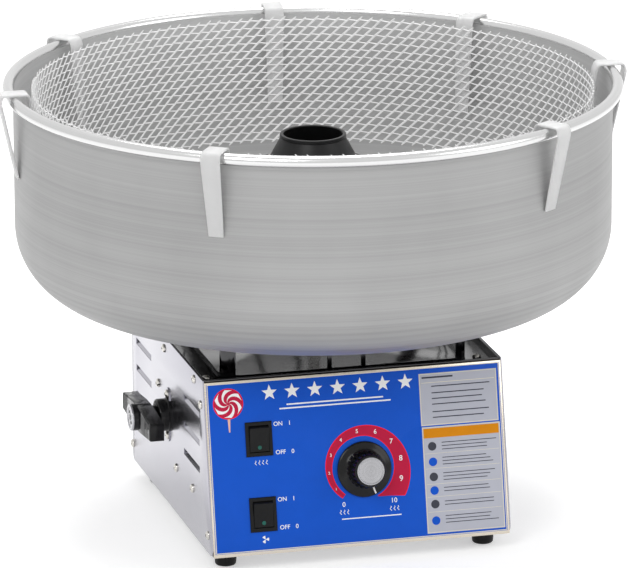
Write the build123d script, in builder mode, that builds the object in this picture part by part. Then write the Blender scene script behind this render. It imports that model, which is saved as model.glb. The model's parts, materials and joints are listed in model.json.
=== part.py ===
from build123d import *
import os
from math import atan2, cos, degrees, hypot, pi, radians, sin, tan

# A countertop floss machine: a lean-fronted sheet metal cabinet that holds the motor and the
# controls, a spinning head on the motor's shaft, and a wide spun bowl that drops over the head
# and carries a plastic net on hooked clips. Millimetres, +Z up, the front faces -Y. The origin
# is on the table, under the shaft.

os.makedirs("parts", exist_ok=True)

# --- Driving sizes -------------------------------------------------------------------------
body_gap = 0.3  # between pieces that move against each other
seat_gap = 0.1  # between pieces that are fastened into each other
shaft_fit = 0.05  # radial, of a shaft in its bearing
# Turned pieces stand in flats, so many to the round.
screw_sides = 8
small_sides = 16
turned_sides = 24
knob_sides = 30
bowl_sides = 54

# Cabinet
cabinet_width = 326
cabinet_depth = 323  # at its top edge
cabinet_height = 183  # without its feet
front_lean = 39.5  # how far the front's foot stands before its top edge
sheet = 1.5
panel_corner = 8  # the side panels' rounded front foot
flange_depth = 12  # the folded edges of the front and back panels

louvre_length = 70
louvre_height = 7
louvre_pitch = 30
louvre_rows = 3
louvre_foot = 95.5  # the lowest slot's sill
louvre_front_y = -112
louvre_back_y = 105
louvre_fold = 7  # how deep the cut flap is folded in

foot_height = 18
foot_radius = 12
foot_crown = 9  # flat part of the foot's underside
foot_edge = 2  # how high its underside rounds up
foot_inset_x = 22
foot_front_inset = 33
foot_back_inset = 36

# Deck under the bowl
deck_drop = 12  # from the walls' top edge down to the deck
deck_lip = 2.5  # the front lip's height
riser_width = 272
riser_corner = 22
corner_flats = 3  # to each of its corners
riser_top_z = 234.7
window_reach = 120  # of the vent windows from the riser's middle
window_post = 5  # between two windows
window_middle = 32  # the short window's length
window_sill = 6  # above the deck
window_height = 30
deck_hole_radius = 60
riser_hole_radius = 20

# Front controls, measured on the leaning panel from its middle and its top edge
panel_top_gap = 2.5
overlay_side_margin = 3.5
overlay_top = 4.6
overlay_foot_margin = 3.6
overlay_thickness = 0.5
switch_x = -106
switch_drops = {"upper": 65.3, "lower": 145}
bezel_width = 29
bezel_length = 36.5
bezel_height = 2.2
bezel_bevel = 0.8
switch_body_width = 26.4
switch_body_length = 33
switch_body_depth = 24
rocker_width = 20.6
rocker_side_gap = 0.5
rocker_half_length = 12.6
rocker_tip_height = 6
rocker_middle_height = 4.9
rocker_belly = 5
rocker_belly_half = 8
rocker_end_low = 6  # degrees, the ends' lowest point below the pivot
rocker_end_high = 10  # degrees, a point of the ends above the pivot
rocker_pivot_depth = 2
rocker_tilt = 8  # each way from level
rocker_pin_radius = 1.2
rocker_pin_length = 1.5
lens_radius = 2.2
lens_drop = 8.2
lens_stand = 0.4
lens_depth = 1.2

knob_x = 6
knob_drop = 106
knob_skirt_radius = 29.5
knob_skirt_height = 4.5
knob_barrel_radius = 19
knob_barrel_taper = 2.6
knob_height = 28
knob_lobes = 12
knob_lobe_radius = 2.4
knob_lobe_ring = 19.7
knob_stand = 1.2
knob_rim_height = 1.4
knob_rim_bevel = (1.6, 0.8)
knob_skirt_foot = 2  # how far the skirt's slope starts outside the barrel
knob_edge = 1
knob_lobe_end = 3  # the flutes stop this far under the knob's top
knob_bore_end = 8  # so does the bore
cap_bevel = 0.5
cap_radius = 14.7
cap_height = 1.2
knob_shaft_radius = 3
bush_radius = 4.7
bush_stand = 6
nut_wall = 2
nut_height = 2.4
nut_room = 1  # round the nut, inside the knob
heat_body_radius = 20
heat_body_depth = 26

# Turn handle on the left wall
handle_y = -8
handle_z = 119
ear_half_height = 30
ear_radius = 7
ear_corner = 5
ear_thickness = 4
ear_screw_pitch = 46
handle_base_radius = 18.4
handle_stem_radius = 6
handle_base_depth = 14
handle_neck_radius = 11
handle_length = 126
handle_bar_depth = 16
handle_bar_height = 18
handle_hub_rise = 5  # how much the bar's middle stands above its tips
handle_hub_radius = 14.5
handle_reach = 43  # from the wall to the cap
handle_cap_height = 2
cap_slot_length = 15
cap_slot_width = 3
cap_slot_turn = -60
handle_rib_pitch = 4
handle_ribs = 5
handle_rib_depth = 1.5
handle_rib_start = 7  # from the bar's tip to the first groove
handle_neck_height = 6
handle_bevel = 1.2
handle_corner = 3
handle_base_bevel = 1
handle_cap_bevel = 0.6

# Cord gland on the back
gland_x = 100
gland_z = 50
gland_radius = 9
gland_bore = 4.5
gland_flange = 3
gland_lip = 4
gland_nut_lip = 3
gland_nose = 14
gland_nose_taper = 2
gland_bevel = 1

# Motor and shaft
shaft_radius = 6.35
shaft_foot_z = 47
motor_radius = 49
motor_foot_z = 66
motor_top_z = 172
motor_boss_radius = 20
motor_boss_height = 5
motor_band_radius = 46.5  # the middle is slimmer than the end covers
motor_cover_height = 30
motor_cover_top = 26
shaft_room = 2  # round the shaft, in the motor's plate
motor_plate_width = 130
motor_plate_thickness = 4
mount_radius = 8
mount_spread = 52
fan_radius = 44
fan_hub_radius = 11
fan_depth = 12
fan_blades = 7
fan_blade_pitch = 32
blade_wall = 1.4
fan_rise = 2  # above the shaft's foot
blade_root = 1  # how far a blade starts inside the hub
air_slots = 7
air_slot_length = 80
air_slot_width = 6
air_slot_pitch = 13

# Brush housing, which stands in the bowl's hole
housing_radius = 54
housing_top_z = 316
housing_flange = 9
housing_bend = 2
housing_vents = 12
housing_vent_width = 6
housing_vent_height = 34
housing_vent_rise = 20
housing_room = 4  # round the shaft, in the housing's top
ring_radius = 19
ring_height = 8
ring_gap = 12  # between the two rings
ring_foot_z = 266
sleeve_radius = 16
sleeve_overhang = 4
brush_width = 8
brush_height = 6
brush_length = 14
holder_width = 20
holder_stand = 3  # from the rings to the holder
holder_room = 6  # behind and above the holder

# Spinning head
head_radius = 72
head_foot_z = 324
head_floor_thickness = 3
head_flange_z = 380
head_flange_thickness = 2
head_hub_radius = 14
head_hub_height = 22
head_flat = 16  # the floor's level ring outside the hub
head_dish = 10  # the rim of the head's floor stands this much above its hub's foot
band_wall = 1.2
band_slots = 30
band_slot_width = 4
band_slot_margin = 6
band_room = 1
funnel_top_z = 417
funnel_top_radius = 33.6
funnel_foot_radius = 52.6
funnel_wall = 2
element_radius = 58
element_ribbon = 1
element_height = 13
element_feet = (343, 360)
post_radius = 3.2
post_count = 6
head_screws = 6
head_screw_ring = 62.5
screw_head_radius = 4
screw_head_height = 2.6

# Bowl
rim_radius = 330
rim_top_z = 478
bead_radius = 6.3  # the rim is rolled over a wire
bead_sides = 8
bowl_wall = 1.6
bowl_hole_radius = 82
bowl_collar_height = 14
bowl_flat_radius = 150
bowl_floor_slope = 6
bowl_corner_radius = 78
bowl_corner_flats = 4  # from the wall down to the floor
bowl_sectors = 18  # the bowl is modelled in solids that touch: rings, each in so many sectors

# Net and its clips
net_radius = 299.5
net_thickness = 2
net_foot_z = 330
net_height = 140
net_columns = 36
net_rows = 4
net_strand = 3.2
clip_angles = (-122.8, -54.8, -4.8, 42.2, 83.2, 132.2, 178.2)
clip_width = 21
clip_thickness = 2.4
clip_reach = 340  # outermost face
clip_outer_drop = 90
clip_inner_drop = 104
clip_shoulder_radius = 309  # where the clip turns down inside the rim
clip_outer_lean = 2
clip_inner_lean = 3

# --- Sizes that follow ---------------------------------------------------------------------
half_width = cabinet_width / 2
inner_half_width = half_width - sheet
front_y = -cabinet_depth / 2
back_y = cabinet_depth / 2
front_foot_y = front_y - front_lean
cabinet_foot_z = foot_height
cabinet_top_z = foot_height + cabinet_height
lean_angle = degrees(atan2(front_lean, cabinet_height))
slope_length = hypot(front_lean, cabinet_height)
deck_z = cabinet_top_z - deck_drop
deck_top_z = deck_z + sheet
inner_back_y = back_y - sheet
tray_front_y = front_y + sheet

panel_plane = Plane(
    origin=(0, front_y, cabinet_top_z),
    x_dir=(1, 0, 0),
    z_dir=(0, -cos(radians(lean_angle)), sin(radians(lean_angle))),
)


def on_panel(x, drop):
    """A plane on the leaning front, at x from its middle and drop from its top edge."""
    return Plane(
        origin=panel_plane.from_local_coords((x, -drop, 0)),
        x_dir=panel_plane.x_dir,
        z_dir=panel_plane.z_dir,
    )


def flat_wedge(outline, sides):
    """One flat of a turned piece. The outline's points are its corners' radius and height."""
    half_turn = radians(180 / sides)
    reach = max(radius for radius, z in outline)
    foot = min(z for radius, z in outline)
    top = max(z for radius, z in outline)
    with BuildPart() as wedge:
        with BuildSketch(Plane.XZ):
            with BuildLine():
                Polyline(*[(radius * cos(half_turn), z) for radius, z in outline], close=True)
            make_face()
        extrude(amount=reach, both=True)
        with BuildSketch(Plane.XY.offset(foot)):
            with BuildLine():
                Polyline(
                    (0, 0),
                    (reach, reach * tan(half_turn)),
                    (reach, -reach * tan(half_turn)),
                    close=True,
                )
            make_face()
        extrude(amount=top - foot, mode=Mode.INTERSECT)
    return wedge.part


def soft_rectangle(width, depth, corner):
    """Points of a rectangle whose corners are taken off in short flats."""
    steps = [radians(90 * step / corner_flats) for step in range(corner_flats + 1)]
    return [
        (
            sx * (width / 2 - corner) + corner * cos(start + step),
            sy * (depth / 2 - corner) + corner * sin(start + step),
        )
        for sx, sy, start in (
            (1, 1, 0),
            (-1, 1, radians(90)),
            (-1, -1, radians(180)),
            (1, -1, radians(270)),
        )
        for step in steps
    ]


def strip_outline(line, thickness):
    """Points round a strip of even thickness that follows a bent line."""
    sides = []
    for hand in (1, -1):
        edge = []
        for index, (x, y) in enumerate(line):
            before = line[max(index - 1, 0)]
            after = line[min(index + 1, len(line) - 1)]
            run_in = atan2(y - before[1], x - before[0]) if index else None
            run_out = atan2(after[1] - y, after[0] - x) if index < len(line) - 1 else None
            run_in = run_out if run_in is None else run_in
            run_out = run_in if run_out is None else run_out
            bend = (run_out - run_in + pi) % (2 * pi) - pi
            across = run_in + bend / 2 + hand * pi / 2
            reach = thickness / 2 / cos(bend / 2)
            edge.append((x + reach * cos(across), y + reach * sin(across)))
        sides.append(edge)
    return sides[0] + sides[1][::-1]


def finish(part, label):
    """Names a finished piece and writes it."""
    part.label = label
    export_step(part, f"parts/{label}.step")


# --- Cabinet -------------------------------------------------------------------------------
for side, label in ((-1, "side_panel_left"), (1, "side_panel_right")):
    with BuildPart() as side_panel:
        with BuildSketch(Plane.YZ.offset(side * inner_half_width)) as outline:
            with BuildLine():
                Polyline(
                    (front_y, cabinet_top_z),
                    (back_y, cabinet_top_z),
                    (back_y, cabinet_foot_z),
                    (front_foot_y, cabinet_foot_z),
                    close=True,
                )
            make_face()
            fillet(outline.vertices().group_by(Axis.Y)[0], radius=panel_corner)
        extrude(amount=side * sheet)
        # Each louvre is a slot whose flap is folded inwards along its sill.
        slot_places = [
            (y, louvre_foot + row * louvre_pitch + louvre_height / 2)
            for y in (louvre_front_y, louvre_back_y)
            for row in range(louvre_rows)
        ]
        with BuildSketch(Plane.YZ.offset(side * inner_half_width)):
            with Locations(*slot_places):
                Rectangle(louvre_length, louvre_height)
        extrude(amount=side * sheet, mode=Mode.SUBTRACT)
        with BuildSketch(Plane.YZ.offset(side * half_width)):
            with Locations(*[(y, z - (louvre_height + sheet) / 2) for y, z in slot_places]):
                Rectangle(louvre_length, sheet)
        extrude(amount=-side * (louvre_fold + sheet))
    finish(side_panel.part, label)

panel_foot_drop = slope_length - panel_top_gap
switch_planes = {name: on_panel(switch_x, drop) for name, drop in switch_drops.items()}
knob_plane = on_panel(knob_x, knob_drop)

with BuildPart() as front_panel:
    with BuildSketch(panel_plane):
        with Locations((0, -(panel_top_gap + slope_length) / 2)):
            Rectangle(2 * inner_half_width, panel_foot_drop)
    extrude(amount=-sheet)
    # Folded edges down both sides, which the side panels' screws hold.
    flange_top_drop = deck_drop + 2 * sheet + panel_top_gap
    flange_foot_drop = slope_length - flange_depth
    with BuildSketch(panel_plane):
        with Locations(
            *[
                (side * (inner_half_width - sheet / 2), -(flange_top_drop + flange_foot_drop) / 2)
                for side in (-1, 1)
            ]
        ):
            Rectangle(sheet, flange_foot_drop - flange_top_drop)
    extrude(amount=-flange_depth)
    for plane in switch_planes.values():
        with BuildSketch(plane):
            Rectangle(switch_body_width + 2 * seat_gap, switch_body_length + 2 * seat_gap)
        extrude(amount=-sheet, mode=Mode.SUBTRACT)
    with BuildSketch(knob_plane):
        RegularPolygon(bush_radius + seat_gap, small_sides, major_radius=False)
    extrude(amount=-sheet, mode=Mode.SUBTRACT)
finish(front_panel.part, "front_panel")

with BuildPart() as overlay:
    overlay_foot = slope_length - overlay_foot_margin
    with BuildSketch(panel_plane):
        with Locations((0, -(overlay_top + overlay_foot) / 2)):
            Rectangle(2 * (half_width - overlay_side_margin), overlay_foot - overlay_top)
    extrude(amount=overlay_thickness)
    for plane in switch_planes.values():
        with BuildSketch(plane):
            Rectangle(switch_body_width + 2 * seat_gap, switch_body_length + 2 * seat_gap)
        extrude(amount=overlay_thickness, mode=Mode.SUBTRACT)
    with BuildSketch(knob_plane):
        RegularPolygon(bush_radius + seat_gap, small_sides, major_radius=False)
    extrude(amount=overlay_thickness, mode=Mode.SUBTRACT)
finish(overlay.part, "overlay")

with BuildPart() as back_panel:
    with BuildSketch(Plane.XZ.offset(-inner_back_y)):
        with Locations((0, (cabinet_foot_z + cabinet_top_z) / 2)):
            Rectangle(2 * inner_half_width, cabinet_height)
        with Locations((gland_x, gland_z)):
            RegularPolygon(gland_radius, small_sides, major_radius=False, mode=Mode.SUBTRACT)
        back_slots = [
            (0, louvre_foot + row * louvre_pitch + louvre_height / 2) for row in range(louvre_rows)
        ]
        with Locations(*back_slots):
            Rectangle(2 * louvre_length, louvre_height, mode=Mode.SUBTRACT)
    extrude(amount=-sheet)
    # Folded edges that the side panels are screwed to.
    with BuildSketch(Plane.XY.offset(cabinet_foot_z + 2 * sheet)):
        with Locations(
            *[
                (side * (inner_half_width - sheet / 2), inner_back_y - flange_depth / 2)
                for side in (-1, 1)
            ]
        ):
            Rectangle(sheet, flange_depth)
    extrude(amount=deck_z - cabinet_foot_z - 3 * sheet)
finish(back_panel.part, "back_panel")

with BuildPart() as bottom_plate:
    bottom_front_y = front_foot_y + sheet + 2 * body_gap
    with BuildSketch(Plane.XY.offset(cabinet_foot_z)):
        with Locations((0, (bottom_front_y + inner_back_y) / 2)):
            Rectangle(2 * inner_half_width, inner_back_y - bottom_front_y)
        with GridLocations(air_slot_pitch, 0, air_slots, 1):
            Rectangle(air_slot_width, air_slot_length, mode=Mode.SUBTRACT)
    extrude(amount=sheet)
finish(bottom_plate.part, "bottom_plate")

foot_places = {
    f"foot_{end}_{hand}": (side * (half_width - foot_inset_x), y)
    for end, y in (("front", front_foot_y + foot_front_inset), ("back", back_y - foot_back_inset))
    for side, hand in ((-1, "left"), (1, "right"))
}
foot_wedge = flat_wedge(
    [
        (0, 0),
        (foot_crown, 0),
        (foot_crown + foot_edge, foot_edge),
        (foot_radius, foot_height),
        (0, foot_height),
    ],
    small_sides,
)
for label, (x, y) in foot_places.items():
    with BuildPart() as foot:
        with Locations((x, y, 0)):
            with PolarLocations(0, small_sides):
                add(foot_wedge)
    finish(foot.part, label)

# --- Deck and riser ------------------------------------------------------------------------
with BuildPart() as deck_tray:
    tray_middle_y = (tray_front_y + inner_back_y) / 2
    tray_depth = inner_back_y - tray_front_y
    with BuildSketch(Plane.XY.offset(deck_z)):
        with Locations((0, tray_middle_y)):
            Rectangle(2 * inner_half_width, tray_depth)
    extrude(amount=deck_drop)
    with BuildSketch(Plane.XY.offset(deck_top_z)):
        with Locations((0, tray_middle_y)):
            Rectangle(2 * (inner_half_width - sheet), tray_depth - 2 * sheet)
    extrude(amount=deck_drop, mode=Mode.SUBTRACT)
    with BuildSketch(Plane.XY.offset(deck_z)):
        RegularPolygon(deck_hole_radius, turned_sides)
    extrude(amount=sheet, mode=Mode.SUBTRACT)
    # The lip that turns forward over the front panel's top edge.
    with BuildSketch(Plane.XY.offset(cabinet_top_z)):
        with Locations((0, front_y + sheet / 2)):
            Rectangle(2 * inner_half_width, sheet)
    extrude(amount=-(deck_lip - sheet))
finish(deck_tray.part, "deck_tray")

with BuildPart() as riser:
    riser_height = riser_top_z - deck_top_z
    with BuildSketch(Plane.XY.offset(deck_top_z)):
        with BuildLine():
            Polyline(*soft_rectangle(riser_width, riser_width, riser_corner), close=True)
        make_face()
    extrude(amount=riser_height)
    with BuildSketch(Plane.XY.offset(deck_top_z)):
        riser_inside = riser_width - 2 * sheet
        with BuildLine():
            Polyline(*soft_rectangle(riser_inside, riser_inside, riser_corner - sheet), close=True)
        make_face()
    extrude(amount=riser_height - sheet, mode=Mode.SUBTRACT)
    with BuildSketch(Plane.XY.offset(riser_top_z)):
        RegularPolygon(riser_hole_radius, small_sides)
    extrude(amount=-sheet, mode=Mode.SUBTRACT)
    # A short vent window between two long ones, on each of the four sides.
    window_z = deck_top_z + window_sill + window_height / 2
    long_window_start = window_middle / 2 + window_post
    long_window = window_reach - long_window_start
    for plane in (Plane.XZ, Plane.YZ):
        with BuildSketch(plane):
            with Locations((0, window_z)):
                Rectangle(window_middle, window_height)
            with Locations(
                *[(side * (long_window_start + long_window / 2), window_z) for side in (-1, 1)]
            ):
                Rectangle(long_window, window_height)
        extrude(amount=riser_width, both=True, mode=Mode.SUBTRACT)
finish(riser.part, "riser")

# --- Motor and shaft -----------------------------------------------------------------------
mount_foot_z = motor_top_z + motor_plate_thickness

with BuildPart() as motor_body:
    motor_middle_z = motor_foot_z + motor_cover_height
    # a lower end cover with its bearing boss, the laminated middle, and an upper end cover
    for z, height, radius in (
        (motor_foot_z, motor_boss_height, motor_boss_radius),
        (motor_foot_z + motor_boss_height, motor_cover_height - motor_boss_height, motor_radius),
        (motor_middle_z, motor_top_z - motor_cover_top - motor_middle_z, motor_band_radius),
        (motor_top_z - motor_cover_top, motor_cover_top, motor_radius),
    ):
        with BuildSketch(Plane.XY.offset(z)):
            RegularPolygon(radius, turned_sides)
        extrude(amount=height)
    with BuildSketch(Plane.XY.offset(motor_foot_z)):
        Circle(shaft_radius + shaft_fit)
    extrude(amount=motor_top_z - motor_foot_z, mode=Mode.SUBTRACT)
finish(motor_body.part, "motor_body")

with BuildPart() as motor_plate:
    with BuildSketch(Plane.XY.offset(motor_top_z)):
        Rectangle(motor_plate_width, motor_plate_width)
        RegularPolygon(shaft_radius + shaft_room, small_sides, mode=Mode.SUBTRACT)
    extrude(amount=motor_plate_thickness)
finish(motor_plate.part, "motor_plate")

with BuildPart() as motor_mounts:
    with BuildSketch(Plane.XY.offset(mount_foot_z)):
        with GridLocations(2 * mount_spread, 2 * mount_spread, 2, 2):
            RegularPolygon(mount_radius, screw_sides)
    extrude(amount=deck_z - mount_foot_z)
finish(motor_mounts.part, "motor_mounts")

head_floor_top_z = head_foot_z + head_floor_thickness
shaft_top_z = head_foot_z + head_hub_height

with BuildPart() as shaft:
    with BuildSketch(Plane.XY.offset(shaft_foot_z)):
        Circle(shaft_radius)
    extrude(amount=shaft_top_z - shaft_foot_z)
finish(shaft.part, "shaft")

fan_z = shaft_foot_z + fan_rise
blade_start = fan_hub_radius - blade_root
blade_box = Box(
    fan_radius - blade_start, fan_depth, blade_wall, align=(Align.MIN, Align.CENTER, Align.CENTER)
)
blade = Pos(blade_start, 0, fan_z + fan_depth / 2) * Rot(fan_blade_pitch, 0, 0) * blade_box

with BuildPart() as fan:
    with BuildSketch(Plane.XY.offset(fan_z)):
        RegularPolygon(fan_hub_radius, small_sides)
    extrude(amount=fan_depth)
    with PolarLocations(0, fan_blades):
        add(blade)
    with BuildSketch(Plane.XY.offset(fan_z)):
        Circle(shaft_radius)
    extrude(amount=fan_depth, mode=Mode.SUBTRACT)
finish(fan.part, "fan")

# --- Brush housing -------------------------------------------------------------------------
with BuildPart() as brush_housing:
    housing_height = housing_top_z - riser_top_z
    housing_turn = 180 / turned_sides  # so that the vents lie on flats
    with BuildSketch(Plane.XY.offset(riser_top_z)):
        RegularPolygon(housing_radius + housing_flange, turned_sides, rotation=housing_turn)
    extrude(amount=sheet)
    with BuildSketch(Plane.XY.offset(riser_top_z)):
        RegularPolygon(housing_radius, turned_sides, rotation=housing_turn)
    extrude(amount=housing_height)
    chamfer(brush_housing.edges().group_by(Axis.Z)[-1], length=housing_bend)
    with BuildSketch(Plane.XY.offset(riser_top_z)):
        RegularPolygon(housing_radius - sheet, turned_sides, rotation=housing_turn)
    extrude(amount=housing_height - sheet, mode=Mode.SUBTRACT)
    with BuildSketch(Plane.XY.offset(housing_top_z)):
        RegularPolygon(shaft_radius + housing_room, small_sides)
    extrude(amount=-2 * sheet, mode=Mode.SUBTRACT)
    vent_z = riser_top_z + housing_vent_rise + housing_vent_height / 2
    with BuildSketch(Plane.YZ):
        with Locations((0, vent_z)):
            Rectangle(housing_vent_width, housing_vent_height)
    vent = extrude(amount=housing_radius + housing_flange, mode=Mode.PRIVATE)
    with PolarLocations(0, housing_vents, start_angle=180 / housing_vents):
        add(vent, mode=Mode.SUBTRACT)
finish(brush_housing.part, "brush_housing")

ring_places = [ring_foot_z, ring_foot_z + ring_height + ring_gap]

with BuildPart() as ring_sleeve:
    with BuildSketch(Plane.XY.offset(ring_foot_z - sleeve_overhang)):
        RegularPolygon(sleeve_radius, turned_sides)
        Circle(shaft_radius, mode=Mode.SUBTRACT)
    extrude(amount=2 * (ring_height + sleeve_overhang) + ring_gap)
finish(ring_sleeve.part, "ring_sleeve")

with BuildPart() as slip_rings:
    for z in ring_places:
        with BuildSketch(Plane.XY.offset(z)):
            RegularPolygon(ring_radius, turned_sides)
            RegularPolygon(sleeve_radius, turned_sides, mode=Mode.SUBTRACT)
        extrude(amount=ring_height)
finish(slip_rings.part, "slip_rings")

brush_start = ring_radius + body_gap
holder_start = brush_start + holder_stand
holder_end = housing_radius - sheet - body_gap

with BuildPart() as brushes:
    for z in ring_places:
        with BuildSketch(Plane.YZ.offset(brush_start)):
            with Locations((0, z + ring_height / 2)):
                Rectangle(brush_width, brush_height)
        extrude(amount=brush_length)
finish(brushes.part, "brushes")

with BuildPart() as brush_holder:
    holder_top_z = ring_places[-1] + ring_height + holder_room
    with BuildSketch(Plane.YZ.offset(holder_start)):
        with Locations((0, (riser_top_z + holder_top_z) / 2)):
            Rectangle(holder_width, holder_top_z - riser_top_z)
    extrude(amount=holder_end - holder_start - holder_room)
    for z in ring_places:
        with BuildSketch(Plane.YZ.offset(holder_start)):
            with Locations((0, z + ring_height / 2)):
                Rectangle(brush_width + 2 * seat_gap, brush_height + 2 * seat_gap)
        extrude(amount=brush_start + brush_length - holder_start, mode=Mode.SUBTRACT)
finish(brush_holder.part, "brush_holder")

# --- Spinning head -------------------------------------------------------------------------
band_outer = head_radius - band_wall - seat_gap - band_room
band_inner = band_outer - band_wall
floor_flat_radius = head_hub_radius + head_flat
floor_rim_z = head_foot_z + head_dish + head_floor_thickness

head_base_wedge = flat_wedge(
    [
        (0, head_foot_z),
        (floor_flat_radius, head_foot_z),
        (head_radius, head_foot_z + head_dish),
        (head_radius, floor_rim_z),
        (band_inner, floor_rim_z),
        (floor_flat_radius, head_floor_top_z),
        (head_hub_radius, head_floor_top_z),
        (head_hub_radius, shaft_top_z),
        (0, shaft_top_z),
    ],
    band_slots,
)
with BuildPart() as head_base:
    with PolarLocations(0, band_slots):
        add(head_base_wedge)
    with BuildSketch(Plane.XY.offset(head_foot_z)):
        Circle(shaft_radius)
    extrude(amount=head_hub_height, mode=Mode.SUBTRACT)
finish(head_base.part, "head_base")

band_foot_z = floor_rim_z + seat_gap
band_height = head_flange_z - head_flange_thickness - band_foot_z

with BuildPart() as head_band:
    with BuildSketch(Plane.XY.offset(band_foot_z)):
        band_turn = 180 / band_slots  # so that the slots lie on flats
        RegularPolygon(band_outer, band_slots, rotation=band_turn)
        RegularPolygon(band_inner, band_slots, rotation=band_turn, mode=Mode.SUBTRACT)
    extrude(amount=band_height)
    with BuildSketch(Plane.YZ):
        with Locations((0, band_foot_z + band_height / 2)):
            Rectangle(band_slot_width, band_height - 2 * band_slot_margin)
    band_slot = extrude(amount=head_radius, mode=Mode.PRIVATE)
    with PolarLocations(0, band_slots):
        add(band_slot, mode=Mode.SUBTRACT)
finish(head_band.part, "head_band")

flange_foot_z = head_flange_z - head_flange_thickness
funnel_slope = (funnel_foot_radius - funnel_top_radius) / (funnel_top_z - head_flange_z)
funnel_inner_foot = funnel_foot_radius - funnel_wall + funnel_slope * head_flange_thickness
head_cap_wedge = flat_wedge(
    [
        (funnel_top_radius - funnel_wall, funnel_top_z),
        (funnel_top_radius, funnel_top_z),
        (funnel_foot_radius, head_flange_z),
        (head_radius, head_flange_z),
        (head_radius, flange_foot_z),
        (funnel_inner_foot, flange_foot_z),
    ],
    band_slots,
)
with BuildPart() as head_cap:
    with PolarLocations(0, band_slots):
        add(head_cap_wedge)
finish(head_cap.part, "head_cap")

with BuildPart() as head_screw_set:
    with BuildSketch(Plane.XY.offset(head_flange_z)):
        with PolarLocations(head_screw_ring, head_screws):
            RegularPolygon(screw_head_radius, screw_sides)
    extrude(amount=screw_head_height)
finish(head_screw_set.part, "head_screws")

with BuildPart() as element:
    for z in element_feet:
        with BuildSketch(Plane.XY.offset(z)):
            RegularPolygon(element_radius, turned_sides)
            RegularPolygon(element_radius - element_ribbon, turned_sides, mode=Mode.SUBTRACT)
        extrude(amount=element_height)
finish(element.part, "heating_element")

with BuildPart() as element_posts:
    post_ring = element_radius - element_ribbon - seat_gap - post_radius
    floor_slope = head_dish / (band_inner - floor_flat_radius)
    post_foot_z = head_floor_top_z + (post_ring + post_radius - floor_flat_radius) * floor_slope
    with BuildSketch(Plane.XY.offset(post_foot_z + seat_gap)):
        with PolarLocations(post_ring, post_count):
            RegularPolygon(post_radius, screw_sides)
    extrude(amount=element_feet[-1] + element_height - post_foot_z)
finish(element_posts.part, "element_posts")

# --- Bowl ----------------------------------------------------------------------------------
wall_inner = rim_radius - 2 * bead_radius
wall_outer = wall_inner + bowl_wall
bead_middle = wall_inner + bead_radius
bead_z = rim_top_z - bead_radius
floor_z = riser_top_z + body_gap
slope = radians(bowl_floor_slope)
corner_middle = wall_outer - bowl_corner_radius
arc_end = corner_middle + bowl_corner_radius * sin(slope)
arc_end_z = floor_z + (arc_end - bowl_flat_radius) * tan(slope)
corner_z = arc_end_z + bowl_corner_radius * cos(slope)


def bowl_corner(radius, angle):
    """A point of the arc between the wall and the floor, at an angle below level."""
    return (
        corner_middle + radius * cos(radians(angle)),
        corner_z - radius * sin(radians(angle)),
    )


inner_corner = bowl_corner_radius - bowl_wall
inner_floor_z = floor_z + bowl_wall
collar_top_z = floor_z + bowl_collar_height
arc_turn = 90 - bowl_floor_slope
corner_steps = [arc_turn * (1 - step / bowl_corner_flats) for step in range(bowl_corner_flats + 1)]
# where the flat floor's top surface meets the sloping one
inner_flat_radius = bowl_flat_radius - bowl_wall * tan(slope / 2)
bead_flat = bead_radius * tan(radians(180 / bead_sides))
outer_arc = [bowl_corner(bowl_corner_radius, angle) for angle in corner_steps]
inner_arc = [bowl_corner(inner_corner, angle) for angle in corner_steps]
mid_corner = bowl_corner_flats // 2
collar_outer = bowl_hole_radius + bowl_wall
bowl_rings = {
    "collar": [
        (bowl_hole_radius, collar_top_z),
        (bowl_hole_radius, floor_z),
        (collar_outer, floor_z),
        (collar_outer, collar_top_z),
    ],
    "floor": [
        (collar_outer, floor_z),
        (bowl_flat_radius, floor_z),
        outer_arc[0],
        inner_arc[0],
        (inner_flat_radius, inner_floor_z),
        (collar_outer, inner_floor_z),
    ],
    "low_corner": outer_arc[: mid_corner + 1] + inner_arc[mid_corner::-1],
    "high_corner": outer_arc[mid_corner:] + inner_arc[: mid_corner - 1 : -1],
    "wall": [
        outer_arc[-1],
        # round the bead, from the wall's outside to its inside
        (wall_outer, bead_z - bead_flat - bowl_wall),
        (bead_middle - bead_flat, bead_z - bead_radius),
        (bead_middle + bead_flat, bead_z - bead_radius),
        (rim_radius, bead_z - bead_flat),
        (rim_radius, bead_z + bead_flat),
        (bead_middle + bead_flat, rim_top_z),
        (bead_middle - bead_flat, rim_top_z),
        (wall_inner, bead_z + bead_flat),
        inner_arc[-1],
    ],
}
bowl_solids = []
for ring_outline in bowl_rings.values():
    ring_flat = flat_wedge(ring_outline, bowl_sides)
    with BuildPart() as sector:
        with PolarLocations(0, bowl_sides // bowl_sectors, angular_range=360 / bowl_sectors, endpoint=False):
            add(ring_flat)
    bowl_solids += [place * sector.part.solid() for place in PolarLocations(0, bowl_sectors)]
finish(Compound(bowl_solids), "bowl")

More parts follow.
